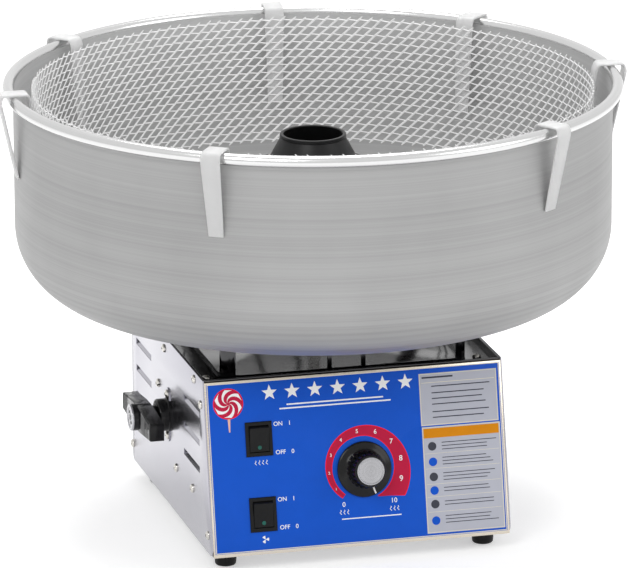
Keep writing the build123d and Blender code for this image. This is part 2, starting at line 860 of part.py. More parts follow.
# --- Clips ---------------------------------------------------------------------------------
clip_top_z = rim_top_z + body_gap + clip_thickness / 2
clip_outer = clip_reach - clip_thickness / 2
clip_tip = wall_outer + body_gap + clip_thickness / 2
clip_foot = net_radius + body_gap + clip_thickness / 2
clip_line = [
    (clip_tip, rim_top_z - clip_outer_drop),
    (clip_outer, rim_top_z - bead_radius),
    (clip_outer - clip_outer_lean, clip_top_z),
    (clip_shoulder_radius, clip_top_z),
    (clip_shoulder_radius - clip_inner_lean, rim_top_z - bead_radius),
    (clip_foot, rim_top_z - clip_inner_drop),
]
for number, angle in enumerate(clip_angles, start=1):
    # Each clip is a strip on its own upright plane through the shaft.
    clip_plane = Plane(
        origin=(0, 0, 0),
        x_dir=(cos(radians(angle)), sin(radians(angle)), 0),
        z_dir=(sin(radians(angle)), -cos(radians(angle)), 0),
    )
    with BuildPart() as clip:
        with BuildSketch(clip_plane):
            with BuildLine():
                Polyline(*strip_outline(clip_line, clip_thickness), close=True)
            make_face()
        extrude(amount=clip_width / 2, both=True)
    finish(clip.part, f"clip_{number}")

# --- Net -----------------------------------------------------------------------------------
# A ring of flats that touch, each with its column of gaps.
net_flat = flat_wedge(
    [
        (net_radius - net_thickness, net_foot_z),
        (net_radius, net_foot_z),
        (net_radius, net_foot_z + net_height),
        (net_radius - net_thickness, net_foot_z + net_height),
    ],
    net_columns,
)
row_height = (net_height - net_strand) / net_rows
cell_width = 2 * (net_radius - net_thickness) * sin(radians(180 / net_columns))
with BuildPart() as net_column:
    add(net_flat)
    with BuildSketch(Plane.YZ.offset(net_radius - 2 * net_thickness)):
        with Locations((0, net_foot_z + net_height / 2)):
            with GridLocations(0, row_height, 1, net_rows):
                Rectangle(cell_width - net_strand, row_height - net_strand)
    extrude(amount=3 * net_thickness, mode=Mode.SUBTRACT)
finish(Compound([place * net_column.part.solid() for place in PolarLocations(0, net_columns)]), "net")

# --- Switches ------------------------------------------------------------------------------
well_width = rocker_width + 2 * rocker_side_gap
rocker_sweep = hypot(rocker_half_length, rocker_tip_height)
well_length = 2 * (rocker_sweep + body_gap)
well_depth = rocker_pivot_depth + rocker_sweep / 2 + rocker_belly / 2

for name, plane in switch_planes.items():
    with BuildPart() as bezel:
        with BuildSketch(plane.offset(overlay_thickness)):
            Rectangle(bezel_width, bezel_length)
        extrude(amount=bezel_height - overlay_thickness)
        chamfer(bezel.faces().sort_by(Axis(plane.origin, plane.z_dir))[-1].edges(), bezel_bevel)
        with BuildSketch(plane.offset(overlay_thickness)):
            Rectangle(switch_body_width, switch_body_length)
        extrude(amount=-switch_body_depth)
        with BuildSketch(plane.offset(bezel_height)):
            Rectangle(well_width, well_length)
        extrude(amount=-bezel_height - well_depth, mode=Mode.SUBTRACT)
        pivot_plane = Plane(
            origin=plane.from_local_coords((0, 0, -rocker_pivot_depth)),
            x_dir=plane.y_dir,
            z_dir=plane.x_dir,
        )
        with BuildSketch(pivot_plane):
            RegularPolygon(rocker_pin_radius + shaft_fit, small_sides, major_radius=False)
        extrude(
            amount=rocker_width / 2 + rocker_pin_length + body_gap, both=True, mode=Mode.SUBTRACT
        )
    finish(bezel.part, f"switch_{name}")

    # The rocker lies in its "off" pose, its lower end pressed in. Its ends are arcs about
    # the pivot, so that they keep their gap while it tilts.
    tilt = radians(rocker_tilt)
    tilted = Plane(
        origin=pivot_plane.origin,
        x_dir=pivot_plane.x_dir * cos(tilt) + pivot_plane.y_dir * sin(tilt),
        z_dir=pivot_plane.z_dir,
    )
    face_slope = (rocker_tip_height - rocker_middle_height) / rocker_half_length
    lens_plane = Plane(
        origin=tilted.from_local_coords(
            (-lens_drop, rocker_middle_height + lens_drop * face_slope, 0)
        ),
        x_dir=tilted.z_dir,
        z_dir=tilted.x_dir * face_slope + tilted.y_dir,
    )
    with BuildPart() as rocker:
        with BuildSketch(tilted):
            with BuildLine():
                tip = (rocker_half_length, rocker_tip_height)
                low, high = radians(rocker_end_low), radians(rocker_end_high)
                end_foot = (rocker_sweep * cos(low), -rocker_sweep * sin(low))
                end_middle = (rocker_sweep * cos(high), rocker_sweep * sin(high))
                Polyline(
                    (-tip[0], tip[1]),
                    (0, rocker_middle_height),
                    tip,
                    end_middle,
                    end_foot,
                    (rocker_belly_half, -rocker_belly),
                    (-rocker_belly_half, -rocker_belly),
                    (-end_foot[0], end_foot[1]),
                    (-end_middle[0], end_middle[1]),
                    close=True,
                )
            make_face()
        extrude(amount=rocker_width / 2, both=True)
        with BuildSketch(tilted):
            Circle(rocker_pin_radius)
        extrude(amount=rocker_width / 2 + rocker_pin_length, both=True)
        with BuildSketch(lens_plane):
            RegularPolygon(lens_radius, small_sides)
        extrude(amount=-lens_depth, mode=Mode.SUBTRACT)
    finish(rocker.part, f"rocker_{name}")

    with BuildPart() as lens:
        with BuildSketch(lens_plane.offset(-lens_depth)):
            RegularPolygon(lens_radius, small_sides)
        extrude(amount=lens_depth + lens_stand)
    finish(lens.part, f"lens_{name}")

# --- Heat knob -----------------------------------------------------------------------------
bush_top = overlay_thickness + bush_stand
bore_top = knob_height - knob_bore_end
nut_radius = bush_radius + nut_wall

with BuildPart() as heat_control:
    with BuildSketch(knob_plane.offset(-sheet)):
        RegularPolygon(heat_body_radius, turned_sides)
    extrude(amount=-heat_body_depth)
    with BuildSketch(knob_plane.offset(-sheet)):
        RegularPolygon(bush_radius, small_sides)
    extrude(amount=sheet + bush_top)
    with BuildSketch(knob_plane.offset(overlay_thickness)):
        RegularPolygon(nut_radius, 6)
    extrude(amount=nut_height)
    with BuildSketch(knob_plane.offset(bush_top)):
        Circle(knob_shaft_radius + shaft_fit)
    extrude(amount=-bush_top - sheet - heat_body_depth / 2, mode=Mode.SUBTRACT)
finish(heat_control.part, "heat_control")

with BuildPart() as knob_shaft:
    with BuildSketch(knob_plane.offset(bore_top)):
        Circle(knob_shaft_radius)
    extrude(amount=-bore_top - sheet - heat_body_depth / 2 + body_gap)
finish(knob_shaft.part, "knob_shaft")

counterbore = nut_radius + nut_room
counterbore_top = bush_top + nut_room
barrel_top = knob_barrel_radius - knob_barrel_taper
rim_edge_z = knob_stand + knob_rim_height
barrel_foot_z = knob_stand + knob_skirt_height + knob_edge
knob_wedge = flat_wedge(
    [
        (counterbore, knob_stand),
        (knob_skirt_radius, knob_stand),
        (knob_skirt_radius, rim_edge_z),
        (knob_skirt_radius - knob_rim_bevel[0], rim_edge_z + knob_rim_bevel[1]),
        (knob_barrel_radius + knob_skirt_foot, knob_stand + knob_skirt_height),
        (knob_barrel_radius, barrel_foot_z),
        (barrel_top, knob_height - knob_edge),
        (barrel_top - knob_edge, knob_height),
        (0, knob_height),
        (0, counterbore_top),
        (counterbore, counterbore_top),
    ],
    knob_sides,
)
with BuildPart() as knob:
    with Locations(knob_plane):
        with PolarLocations(0, knob_sides):
            add(knob_wedge)
    with BuildSketch(knob_plane.offset(knob_stand)):
        Circle(knob_shaft_radius)
    extrude(amount=bore_top - knob_stand, mode=Mode.SUBTRACT)
    # finger flutes round the barrel
    with BuildSketch(knob_plane.offset(barrel_foot_z)):
        with PolarLocations(knob_lobe_ring, knob_lobes):
            RegularPolygon(knob_lobe_radius, screw_sides)
    extrude(amount=knob_height - barrel_foot_z - knob_lobe_end, mode=Mode.SUBTRACT)
finish(knob.part, "knob")

with BuildPart() as knob_cap:
    with BuildSketch(knob_plane.offset(knob_height)):
        RegularPolygon(cap_radius, turned_sides)
    extrude(amount=cap_height)
    chamfer(
        knob_cap.faces().sort_by(Axis(knob_plane.origin, knob_plane.z_dir))[-1].edges(), cap_bevel
    )
finish(knob_cap.part, "knob_cap")

# --- Turn handle on the left wall ----------------------------------------------------------
handle_plane = Plane(
    origin=(-half_width, handle_y, handle_z), x_dir=(0, -1, 0), z_dir=(-1, 0, 0)
)

with BuildPart() as handle_base:
    with BuildSketch(handle_plane):
        RegularPolygon(handle_base_radius, turned_sides)
        with BuildLine():
            Polyline(*soft_rectangle(2 * ear_radius, 2 * ear_half_height, ear_corner), close=True)
        make_face()
    extrude(amount=ear_thickness)
    with BuildSketch(handle_plane):
        RegularPolygon(handle_base_radius, turned_sides)
    extrude(amount=handle_base_depth)
    chamfer(
        handle_base.faces().sort_by(Axis(handle_plane.origin, handle_plane.z_dir))[-1].edges(),
        handle_base_bevel,
    )
    with BuildSketch(handle_plane):
        Circle(handle_stem_radius + shaft_fit)
    extrude(amount=handle_base_depth, mode=Mode.SUBTRACT)
finish(handle_base.part, "handle_base")

with BuildPart() as handle_screws:
    with BuildSketch(handle_plane.offset(ear_thickness)):
        with GridLocations(0, ear_screw_pitch, 1, 2):
            RegularPolygon(screw_head_radius, screw_sides)
    extrude(amount=screw_head_height)
finish(handle_screws.part, "handle_screws")

bar_foot = handle_base_depth + handle_neck_height
bar_top = bar_foot + handle_bar_depth
hub_top = handle_reach - handle_cap_height

with BuildPart() as handle_bar:
    with BuildSketch(handle_plane.offset(bar_foot)) as bar_outline:
        half_length = handle_length / 2
        half_tip = handle_bar_height / 2
        half_hub = half_tip + handle_hub_rise
        with BuildLine():
            Polyline(
                (half_length, half_tip),
                (handle_hub_radius, half_hub),
                (-handle_hub_radius, half_hub),
                (-half_length, half_tip),
                (-half_length, -half_tip),
                (-handle_hub_radius, -half_hub),
                (handle_hub_radius, -half_hub),
                (half_length, -half_tip),
                close=True,
            )
        make_face()
        tips = bar_outline.vertices().sort_by(Axis((0, handle_y, handle_z), (0, 1, 0)))
        chamfer(tips[:2] + tips[-2:], length=handle_corner)
    extrude(amount=handle_bar_depth)
    chamfer(
        handle_bar.faces().sort_by(Axis(handle_plane.origin, handle_plane.z_dir))[-1].edges(),
        handle_bevel,
    )
    with BuildSketch(handle_plane.offset(bar_foot)):
        RegularPolygon(handle_neck_radius, small_sides)
    extrude(amount=body_gap - handle_neck_height)
    with BuildSketch(handle_plane.offset(handle_base_depth + body_gap)):
        Circle(handle_stem_radius)
    extrude(amount=-handle_base_depth)
    with BuildSketch(handle_plane.offset(bar_foot)):
        RegularPolygon(handle_hub_radius, turned_sides)
    extrude(amount=hub_top - bar_foot)
    # grip grooves across both wings
    with BuildSketch(handle_plane.offset(bar_top)):
        groove_places = [
            (side * (handle_length / 2 - handle_rib_start - index * handle_rib_pitch), 0)
            for side in (-1, 1)
            for index in range(handle_ribs)
        ]
        with Locations(*groove_places):
            Rectangle(handle_rib_pitch / 2, 2 * half_hub)
    extrude(amount=-handle_rib_depth, mode=Mode.SUBTRACT)
finish(handle_bar.part, "handle_bar")

with BuildPart() as handle_cap:
    with BuildSketch(handle_plane.offset(hub_top)):
        RegularPolygon(handle_hub_radius, turned_sides)
    extrude(amount=handle_cap_height)
    chamfer(
        handle_cap.faces().sort_by(Axis(handle_plane.origin, handle_plane.z_dir))[-1].edges(),
        handle_cap_bevel,
    )
    with BuildSketch(handle_plane.offset(handle_reach)):
        Rectangle(cap_slot_length, cap_slot_width, rotation=cap_slot_turn)
    extrude(amount=-handle_cap_height / 2, mode=Mode.SUBTRACT)
finish(handle_cap.part, "handle_cap")

# --- Cord gland on the back ----------------------------------------------------------------
gland_plane = Plane(origin=(gland_x, back_y, gland_z), x_dir=(-1, 0, 0), z_dir=(0, 1, 0))

gland_wedge = flat_wedge(
    [
        (gland_bore, -sheet - gland_flange),
        (gland_radius + gland_nut_lip, -sheet - gland_flange),
        (gland_radius + gland_nut_lip, -sheet),
        (gland_radius - seat_gap, -sheet),
        (gland_radius - seat_gap, 0),
        (gland_radius + gland_lip, 0),
        (gland_radius + gland_lip, gland_flange),
        (gland_radius, gland_flange + gland_bevel),
        (gland_radius - gland_nose_taper, gland_nose),
        (gland_bore, gland_nose),
    ],
    small_sides,
)
with BuildPart() as cord_gland:
    with Locations(gland_plane):
        with PolarLocations(0, small_sides):
            add(gland_wedge)
finish(cord_gland.part, "cord_gland")
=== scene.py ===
import bpy
import bmesh
import json
from math import atan2, cos, hypot, pi, radians, sin
from mathutils import Matrix, Vector


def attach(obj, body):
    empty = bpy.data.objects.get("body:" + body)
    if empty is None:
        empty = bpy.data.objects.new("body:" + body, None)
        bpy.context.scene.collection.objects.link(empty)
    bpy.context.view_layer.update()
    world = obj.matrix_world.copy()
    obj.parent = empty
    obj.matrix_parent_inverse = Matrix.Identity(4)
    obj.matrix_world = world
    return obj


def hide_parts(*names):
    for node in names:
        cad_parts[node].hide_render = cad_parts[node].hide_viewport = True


# A countertop floss machine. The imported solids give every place; sizes here are in
# millimetres and are turned into metres by the helpers.

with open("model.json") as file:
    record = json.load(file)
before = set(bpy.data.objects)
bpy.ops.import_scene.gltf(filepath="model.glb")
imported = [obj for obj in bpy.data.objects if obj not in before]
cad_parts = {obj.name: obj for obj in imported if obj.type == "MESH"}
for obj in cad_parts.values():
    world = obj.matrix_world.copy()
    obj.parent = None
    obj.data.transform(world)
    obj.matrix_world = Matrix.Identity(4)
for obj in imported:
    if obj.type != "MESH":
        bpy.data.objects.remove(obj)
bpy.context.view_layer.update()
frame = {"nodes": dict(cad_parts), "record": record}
nodes = frame["nodes"]
mm = 0.001
print("frame loaded:", len(nodes), "nodes")

# how the front panel leans, and where its top edge is
panel = {"lean": atan2(39.5, 183), "topY": -161.5, "topZ": 201, "printHeight": 0.5}


# placing and shaping helpers

def onPanel(x, drop, height=0.0):  # a frame on the leaning front: x right, y up the slope, z outwards
    sn, cs = sin(panel["lean"]), cos(panel["lean"])
    y = panel["topY"] - drop * sn - height * cs
    z = panel["topZ"] - drop * cs + height * sn
    return Matrix(((1, 0, 0, x * mm), (0, sn, -cs, y * mm), (0, cs, sn, z * mm), (0, 0, 0, 1)))


def lyingAt(x, y, z=0.0):
    return Matrix.Translation((x * mm, y * mm, z * mm))


def facingLeft(y, z, away=163.0):  # z outwards from the left wall
    return Matrix(((0, 0, -1, -away * mm), (-1, 0, 0, y * mm), (0, 1, 0, z * mm), (0, 0, 0, 1)))


def facingRight(y, z, away=163.0):
    return Matrix(((0, 0, 1, away * mm), (1, 0, 0, y * mm), (0, 1, 0, z * mm), (0, 0, 0, 1)))


def facingBack(x, z, away=161.5):
    return Matrix(((-1, 0, 0, x * mm), (0, 0, 1, away * mm), (0, 1, 0, z * mm), (0, 0, 0, 1)))


def arc(cx, cy, radius, start, stop, steps):  # points of an arc, angles in degrees
    turns = [radians(start + (stop - start) * i / steps) for i in range(steps + 1)]
    return [(cx + radius * cos(t), cy + radius * sin(t)) for t in turns]


def turnedShape(profile, steps=96, closed=True, wave=None):  # the profile's (radius, z) goes round z
    shape = bmesh.new()
    rings = []
    for k in range(steps):
        t = 2 * pi * k / steps
        ring = []
        for i, (radius, z) in enumerate(profile):
            r = radius + (wave(i, t) if wave else 0)
            ring.append(shape.verts.new((r * cos(t) * mm, r * sin(t) * mm, z * mm)))
        rings.append(ring)
    count = len(profile)
    for k in range(steps):
        here, there = rings[k], rings[(k + 1) % steps]
        for i in range(count if closed else count - 1):
            j = (i + 1) % count
            if profile[i][0] == 0 and profile[j][0] == 0:
                continue
            shape.faces.new((here[i], there[i], there[j], here[j]))
    bmesh.ops.remove_doubles(shape, verts=shape.verts, dist=1e-7)
    bmesh.ops.recalc_face_normals(shape, faces=shape.faces)
    return shape


def slabShape(outlines, foot, top):  # flat outlines given thickness
    shape = bmesh.new()
    for outline in outlines:
        low = [shape.verts.new((x * mm, y * mm, foot * mm)) for x, y in outline]
        high = [shape.verts.new((x * mm, y * mm, top * mm)) for x, y in outline]
        shape.faces.new(low[::-1])
        shape.faces.new(high)
        for i in range(len(low)):
            j = (i + 1) % len(low)
            shape.faces.new((low[i], low[j], high[j], high[i]))
    bmesh.ops.recalc_face_normals(shape, faces=shape.faces)
    return shape


def addShape(whole, shape, matrix):  # copies one shape into another, moved by the matrix
    shape.verts.index_update()
    made = [whole.verts.new(matrix @ v.co) for v in shape.verts]
    for face in shape.faces:
        whole.faces.new([made[v.index] for v in face.verts])


def boxShape(x, y, z, edge=0.0):  # a box between two limits on each axis, with broken edges
    shape = slabShape([[(x[0], y[0]), (x[1], y[0]), (x[1], y[1]), (x[0], y[1])]], z[0], z[1])
    if edge:
        bmesh.ops.bevel(shape, geom=shape.edges[:], offset=edge * mm, segments=2, affect="EDGES", profile=0.5)
    return shape


def makePiece(name, shape, finish, body, stands=(), matrix=None, smooth=38, origin=None):
    mesh = bpy.data.meshes.new(name)
    if matrix is not None:
        bmesh.ops.transform(shape, matrix=matrix, verts=shape.verts)
    if origin is not None:
        bmesh.ops.transform(shape, matrix=origin.inverted(), verts=shape.verts)
    shape.to_mesh(mesh)
    shape.free()
    mesh.polygons.foreach_set("use_smooth", [True] * len(mesh.polygons))
    mesh.set_sharp_from_angle(angle=radians(smooth))
    piece = bpy.data.objects.new(name, mesh)
    bpy.context.collection.objects.link(piece)
    if origin is not None:
        piece.matrix_world = origin
    mesh.materials.append(finish)
    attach(piece, body)
    if stands:
        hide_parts(*stands)
    return piece


# finishes

def startFinish(name, **sockets):
    finish = bpy.data.materials.new(name)
    finish.use_nodes = True
    shader = finish.node_tree.nodes["Principled BSDF"]
    for socket, value in sockets.items():
        shader.inputs[socket.replace("_", " ")].default_value = value
    return finish, finish.node_tree, shader


def addNode(tree, kind, **sockets):
    node = tree.nodes.new(kind)
    for socket, value in sockets.items():
        node.inputs[socket.replace("_", " ")].default_value = value
    return node


def stretchedNoise(tree, stretch, scale, detail=3.0, source=None):
    place = source or addNode(tree, "ShaderNodeTexCoord").outputs["Object"]
    mapping = addNode(tree, "ShaderNodeMapping", Scale=stretch)
    noise = addNode(tree, "ShaderNodeTexNoise", Scale=scale, Detail=detail, Roughness=0.6)
    tree.links.new(place, mapping.inputs["Vector"])
    tree.links.new(mapping.outputs["Vector"], noise.inputs["Vector"])
    return noise.outputs["Fac"]


def spunPlace(tree):  # radius and height, so that noise on it makes rings
    place = addNode(tree, "ShaderNodeTexCoord")
    split = addNode(tree, "ShaderNodeSeparateXYZ")
    flat = addNode(tree, "ShaderNodeCombineXYZ")
    length = addNode(tree, "ShaderNodeVectorMath")
    length.operation = "LENGTH"
    rings = addNode(tree, "ShaderNodeCombineXYZ")
    tree.links.new(place.outputs["Object"], split.inputs[0])
    tree.links.new(split.outputs["X"], flat.inputs["X"])
    tree.links.new(split.outputs["Y"], flat.inputs["Y"])
    tree.links.new(flat.outputs[0], length.inputs[0])
    tree.links.new(length.outputs["Value"], rings.inputs["X"])
    tree.links.new(split.outputs["Z"], rings.inputs["Z"])
    return rings.outputs[0]


def spread(tree, source, low, high, start=0.3, stop=0.7):
    reach = addNode(tree, "ShaderNodeMapRange", From_Min=start, From_Max=stop, To_Min=low, To_Max=high)
    tree.links.new(source, reach.inputs["Value"])
    return reach.outputs["Result"]


def tint(tree, factor, dark, light):
    mix = tree.nodes.new("ShaderNodeMix")
    mix.data_type = "RGBA"
    mix.inputs[6].default_value = (*dark, 1)
    mix.inputs[7].default_value = (*light, 1)
    tree.links.new(factor, mix.inputs[0])
    return mix.outputs[2]


def addGrain(tree, shader, height, depth, strength=1.0):
    bump = addNode(tree, "ShaderNodeBump", Strength=strength, Distance=depth * mm)
    tree.links.new(height, bump.inputs["Height"])
    tree.links.new(bump.outputs["Normal"], shader.inputs["Normal"])
    return bump


def fromScreen(red, green, blue):  # a colour read off a screen, as linear light
    return tuple(c / 255 / 12.92 if c < 11 else ((c / 255 + 0.055) / 1.055) ** 2.4 for c in (red, green, blue))


def mouldedFinish(name, colour, rough, grain=0.01, size=900, shade=0.12, sheen=0.3, **sockets):
    finish, tree, shader = startFinish(name, Specular_IOR_Level=sheen, **sockets)
    cloud = stretchedNoise(tree, (1, 1, 1), 60, 4)
    dark = tuple(c * (1 - shade) for c in colour)
    tree.links.new(tint(tree, spread(tree, cloud, 0, 1), dark, colour), shader.inputs["Base Color"])
    fine = stretchedNoise(tree, (1, 1, 1), size, 2)
    tree.links.new(spread(tree, fine, rough * 0.88, rough * 1.12), shader.inputs["Roughness"])
    addGrain(tree, shader, fine, grain)
    return finish


def brushedFinish(name, colour, rough, along, grain=0.004, shade=0.07, **sockets):  # along: the brush's axis
    finish, tree, shader = startFinish(name, Metallic=1.0, **sockets)
    stretch = tuple(0.02 if i == along else 1.0 for i in range(3))
    fine = stretchedNoise(tree, stretch, 2600, 3)
    cloud = stretchedNoise(tree, (1, 1, 1), 9, 3)
    dark = tuple(c * (1 - shade) for c in colour)
    blend = addNode(tree, "ShaderNodeMath")
    blend.operation = "MULTIPLY"
    tree.links.new(spread(tree, fine, 0.55, 1.0), blend.inputs[0])
    tree.links.new(spread(tree, cloud, 0.6, 1.0), blend.inputs[1])
    tree.links.new(tint(tree, blend.outputs[0], dark, colour), shader.inputs["Base Color"])
    tree.links.new(spread(tree, fine, rough * 0.8, rough * 1.25), shader.inputs["Roughness"])
    addGrain(tree, shader, fine, grain)
    return finish


def spunFinish(name, colour, rough, rings=1400, shade=0.1, grain=0.006, metal=1.0, bandScale=46):
    finish, tree, shader = startFinish(name, Metallic=metal, Anisotropic=0.6)
    place = spunPlace(tree)
    fine = stretchedNoise(tree, (1, 1, 1), rings, 4, place)
    bands = stretchedNoise(tree, (1, 1, 1), bandScale, 3, place)
    marks = stretchedNoise(tree, (1, 1, 1), 210, 2, place)
    blur = stretchedNoise(tree, (1, 1, 0.5), 7, 3)
    total = addNode(tree, "ShaderNodeMath")
    total.operation = "ADD"
    more = addNode(tree, "ShaderNodeMath")
    more.operation = "ADD"
    tree.links.new(spread(tree, fine, 0.0, 0.32), total.inputs[0])
    tree.links.new(spread(tree, bands, 0.0, 0.34), total.inputs[1])
    tree.links.new(total.outputs[0], more.inputs[0])
    tree.links.new(spread(tree, marks, 0.0, 0.34), more.inputs[1])
    dark = tuple(c * (1 - shade) for c in colour)
    tree.links.new(tint(tree, more.outputs[0], dark, colour), shader.inputs["Base Color"])
    tree.links.new(spread(tree, blur, rough * 0.85, rough * 1.2), shader.inputs["Roughness"])
    addGrain(tree, shader, fine, grain)
    tangent = addNode(tree, "ShaderNodeTangent")
    tangent.direction_type = "RADIAL"
    tangent.axis = "Z"
    tree.links.new(tangent.outputs[0], shader.inputs["Tangent"])
    return finish


def printedInk(name, colour, rough=0.34, shade=0.06):
    return mouldedFinish(name, colour, rough, grain=0.002, size=2400, shade=shade, sheen=0.1)


finishes = {
    "sheetSteel": brushedFinish("sheetSteel", (0.44, 0.435, 0.48), 0.22, 1, shade=0.16),
    "frontSteel": brushedFinish("frontSteel", (0.66, 0.6, 0.51), 0.24, 0),
    # painted shade: deck and riser steel made near black, standing in for the dark reflection of the bowl's
    # underside
    "deckSteelPaintedDark": brushedFinish("deckSteelPaintedDark", (0.075, 0.075, 0.078), 0.16, 0, shade=0.3),
    "innerSteel": brushedFinish("innerSteel", (0.4, 0.4, 0.41), 0.3, 0, shade=0.15),
    "spunBowl": spunFinish("spunBowl", (0.45, 0.45, 0.45), 0.5, rings=1100, shade=0.34, grain=0.014,
                           metal=0.62, bandScale=30),
    # painted light: a brighter copy of the bowl's metal for the inside wall, standing in for the light it
    # catches
    "bowlInsidePaintedLight": spunFinish("bowlInsidePaintedLight", (0.7, 0.7, 0.7), 0.42, rings=1100, shade=0.3, grain=0.012,
                             metal=0.6, bandScale=30),
    "rimPolish": spunFinish("rimPolish", (0.68, 0.68, 0.68), 0.16, rings=1600, shade=0.12, grain=0.003),
    "netWhite": mouldedFinish("netWhite", (0.97, 0.97, 0.97), 0.3, shade=0.03, sheen=0.5),
    "clipMilky": mouldedFinish("clipMilky", (0.86, 0.86, 0.86), 0.4, shade=0.04, sheen=0.4,
                               Transmission_Weight=0.4, IOR=1.3),
    "headBlack": mouldedFinish("headBlack", (0.01, 0.01, 0.0105), 0.38, grain=0.03, size=1500, shade=0.3,
                               sheen=0.22),
    "turnedMetal": spunFinish("turnedMetal", (0.5, 0.5, 0.5), 0.3, rings=3000),
    "beadCeramic": mouldedFinish("beadCeramic", (0.7, 0.66, 0.58), 0.7, grain=0.05, shade=0.1),
    "groundSteel": brushedFinish("groundSteel", (0.62, 0.61, 0.6), 0.22, 2),
    "screwSteel": brushedFinish("screwSteel", (0.66, 0.64, 0.6), 0.18, 2, shade=0.2),
    "capSteel": spunFinish("capSteel", (0.5, 0.5, 0.52), 0.25, rings=4200, shade=0.3),
    "blackGloss": mouldedFinish("blackGloss", (0.006, 0.006, 0.0065), 0.17, grain=0.006, shade=0.3, sheen=0.24),
    "blackMatte": mouldedFinish("blackMatte", (0.007, 0.0072, 0.0075), 0.42, grain=0.02, size=2600,
                                shade=0.25, sheen=0.18),
    "lensGreen": mouldedFinish("lensGreen", (0.008, 0.13, 0.1), 0.18, grain=0.003, shade=0.3),
    "footRubber": mouldedFinish("footRubber", (0.006, 0.006, 0.006), 0.45, grain=0.03, shade=0.3, sheen=0.2),
    "motorPaint": mouldedFinish("motorPaint", (0.03, 0.031, 0.034), 0.4, grain=0.04, shade=0.25),
    "ringBrass": spunFinish("ringBrass", (0.62, 0.42, 0.16), 0.25, rings=3000),
    "brushCarbon": mouldedFinish("brushCarbon", (0.02, 0.02, 0.021), 0.6, grain=0.05, shade=0.3),
    "overlayBlue": mouldedFinish("overlayBlue", fromScreen(22, 88, 204), 0.3, grain=0.004, size=1800,
                                 shade=0.05, sheen=0.12),
    "inkWhite": printedInk("inkWhite", (0.97, 0.97, 0.97), shade=0.03),
    "inkCrimson": printedInk("inkCrimson", fromScreen(196, 33, 70)),
    "inkRed": printedInk("inkRed", fromScreen(250, 30, 45)),
    "inkOrange": printedInk("inkOrange", fromScreen(222, 141, 22)),
    "inkGrey": printedInk("inkGrey", fromScreen(188, 190, 201), shade=0.04),
    "inkCream": printedInk("inkCream", fromScreen(232, 226, 205)),
    "inkStick": printedInk("inkStick", fromScreen(240, 190, 170)),
    "inkDark": printedInk("inkDark", fromScreen(70, 72, 82)),
}
slotFinishes = {
    "sheet_steel": "sheetSteel", "overlay_blue": "overlayBlue", "spun_aluminium": "spunBowl",
    "net_plastic": "netWhite", "clip_plastic": "clipMilky", "black_head": "headBlack",
    "head_metal": "turnedMetal", "ceramic": "beadCeramic", "steel": "groundSteel",
    "knob_metal": "capSteel", "black_plastic": "blackGloss", "lens_green": "lensGreen",
    "rubber": "footRubber", "motor_paint": "motorPaint", "brass": "ringBrass", "carbon": "brushCarbon",
}
nodeFinishes = {
    # deck_tray and riser take the near-black steel of painted shade
    "front_panel": "frontSteel", "deck_tray": "deckSteelPaintedDark", "riser": "deckSteelPaintedDark", "bottom_plate": "innerSteel",
    "motor_plate": "innerSteel", "brush_housing": "innerSteel", "switch_upper": "blackMatte",
    "switch_lower": "blackMatte", "rocker_upper": "blackMatte", "rocker_lower": "blackMatte",
    "heat_control": "blackMatte", "fan": "blackMatte", "ring_sleeve": "blackMatte",
    "brush_holder": "blackMatte", "cord_gland": "blackMatte",
}
edgeRounding = {  # broken edges of the solids that stay in view
    "side_panel_left": 0.35, "side_panel_right": 0.35, "back_panel": 0.3, "front_panel": 0.3, "deck_tray": 0.35,
    "riser": 0.4, "bottom_plate": 0.3, "overlay": 0.12, "switch_upper": 0.35, "switch_lower": 0.35,
    "rocker_upper": 0.5, "rocker_lower": 0.5, "lens_upper": 0.25, "lens_lower": 0.25, "handle_base": 0.6,
    "handle_bar": 0.9, "brush_housing": 0.4, "head_band": 0.15, "motor_body": 0.8, "cord_gland": 0.4,
}
for part in frame["record"]["subparts"]:
    node = nodes[part["node"]]
    chosen = finishes[nodeFinishes.get(part["node"], slotFinishes[part["material_slot"]])]
    node.data.materials.clear()
    node.data.materials.append(chosen)
    node.data.polygons.foreach_set("use_smooth", [True] * len(node.data.polygons))
    weld = node.modifiers.new("weld", "WELD")
    weld.merge_threshold = 1e-6
    if part["node"] in edgeRounding:
        rounding = node.modifiers.new("rounding", "BEVEL")
        rounding.width = edgeRounding[part["node"]] * mm
        rounding.segments = 2
        rounding.limit_method = "ANGLE"
        rounding.angle_limit = radians(35)
        rounding.harden_normals = False
    corners = node.modifiers.new("corners", "EDGE_SPLIT")
    corners.split_angle = radians(38)
print("finishes on every node")

# spun bowl
bowl = {
    "hole": 82, "floor": 235, "collarTop": 249, "flat": 150, "slope": 6, "wall": 1.6, "cornerRadius": 78,
    "inside": 317.4, "bead": 6.3, "top": 478, "steps": 300, "polishFrom": 466,
    "ridges": ((467.2, 0.25), (464.4, 0.2), (461.4, 0.12)),  # height and depth of each groove under the rim
}


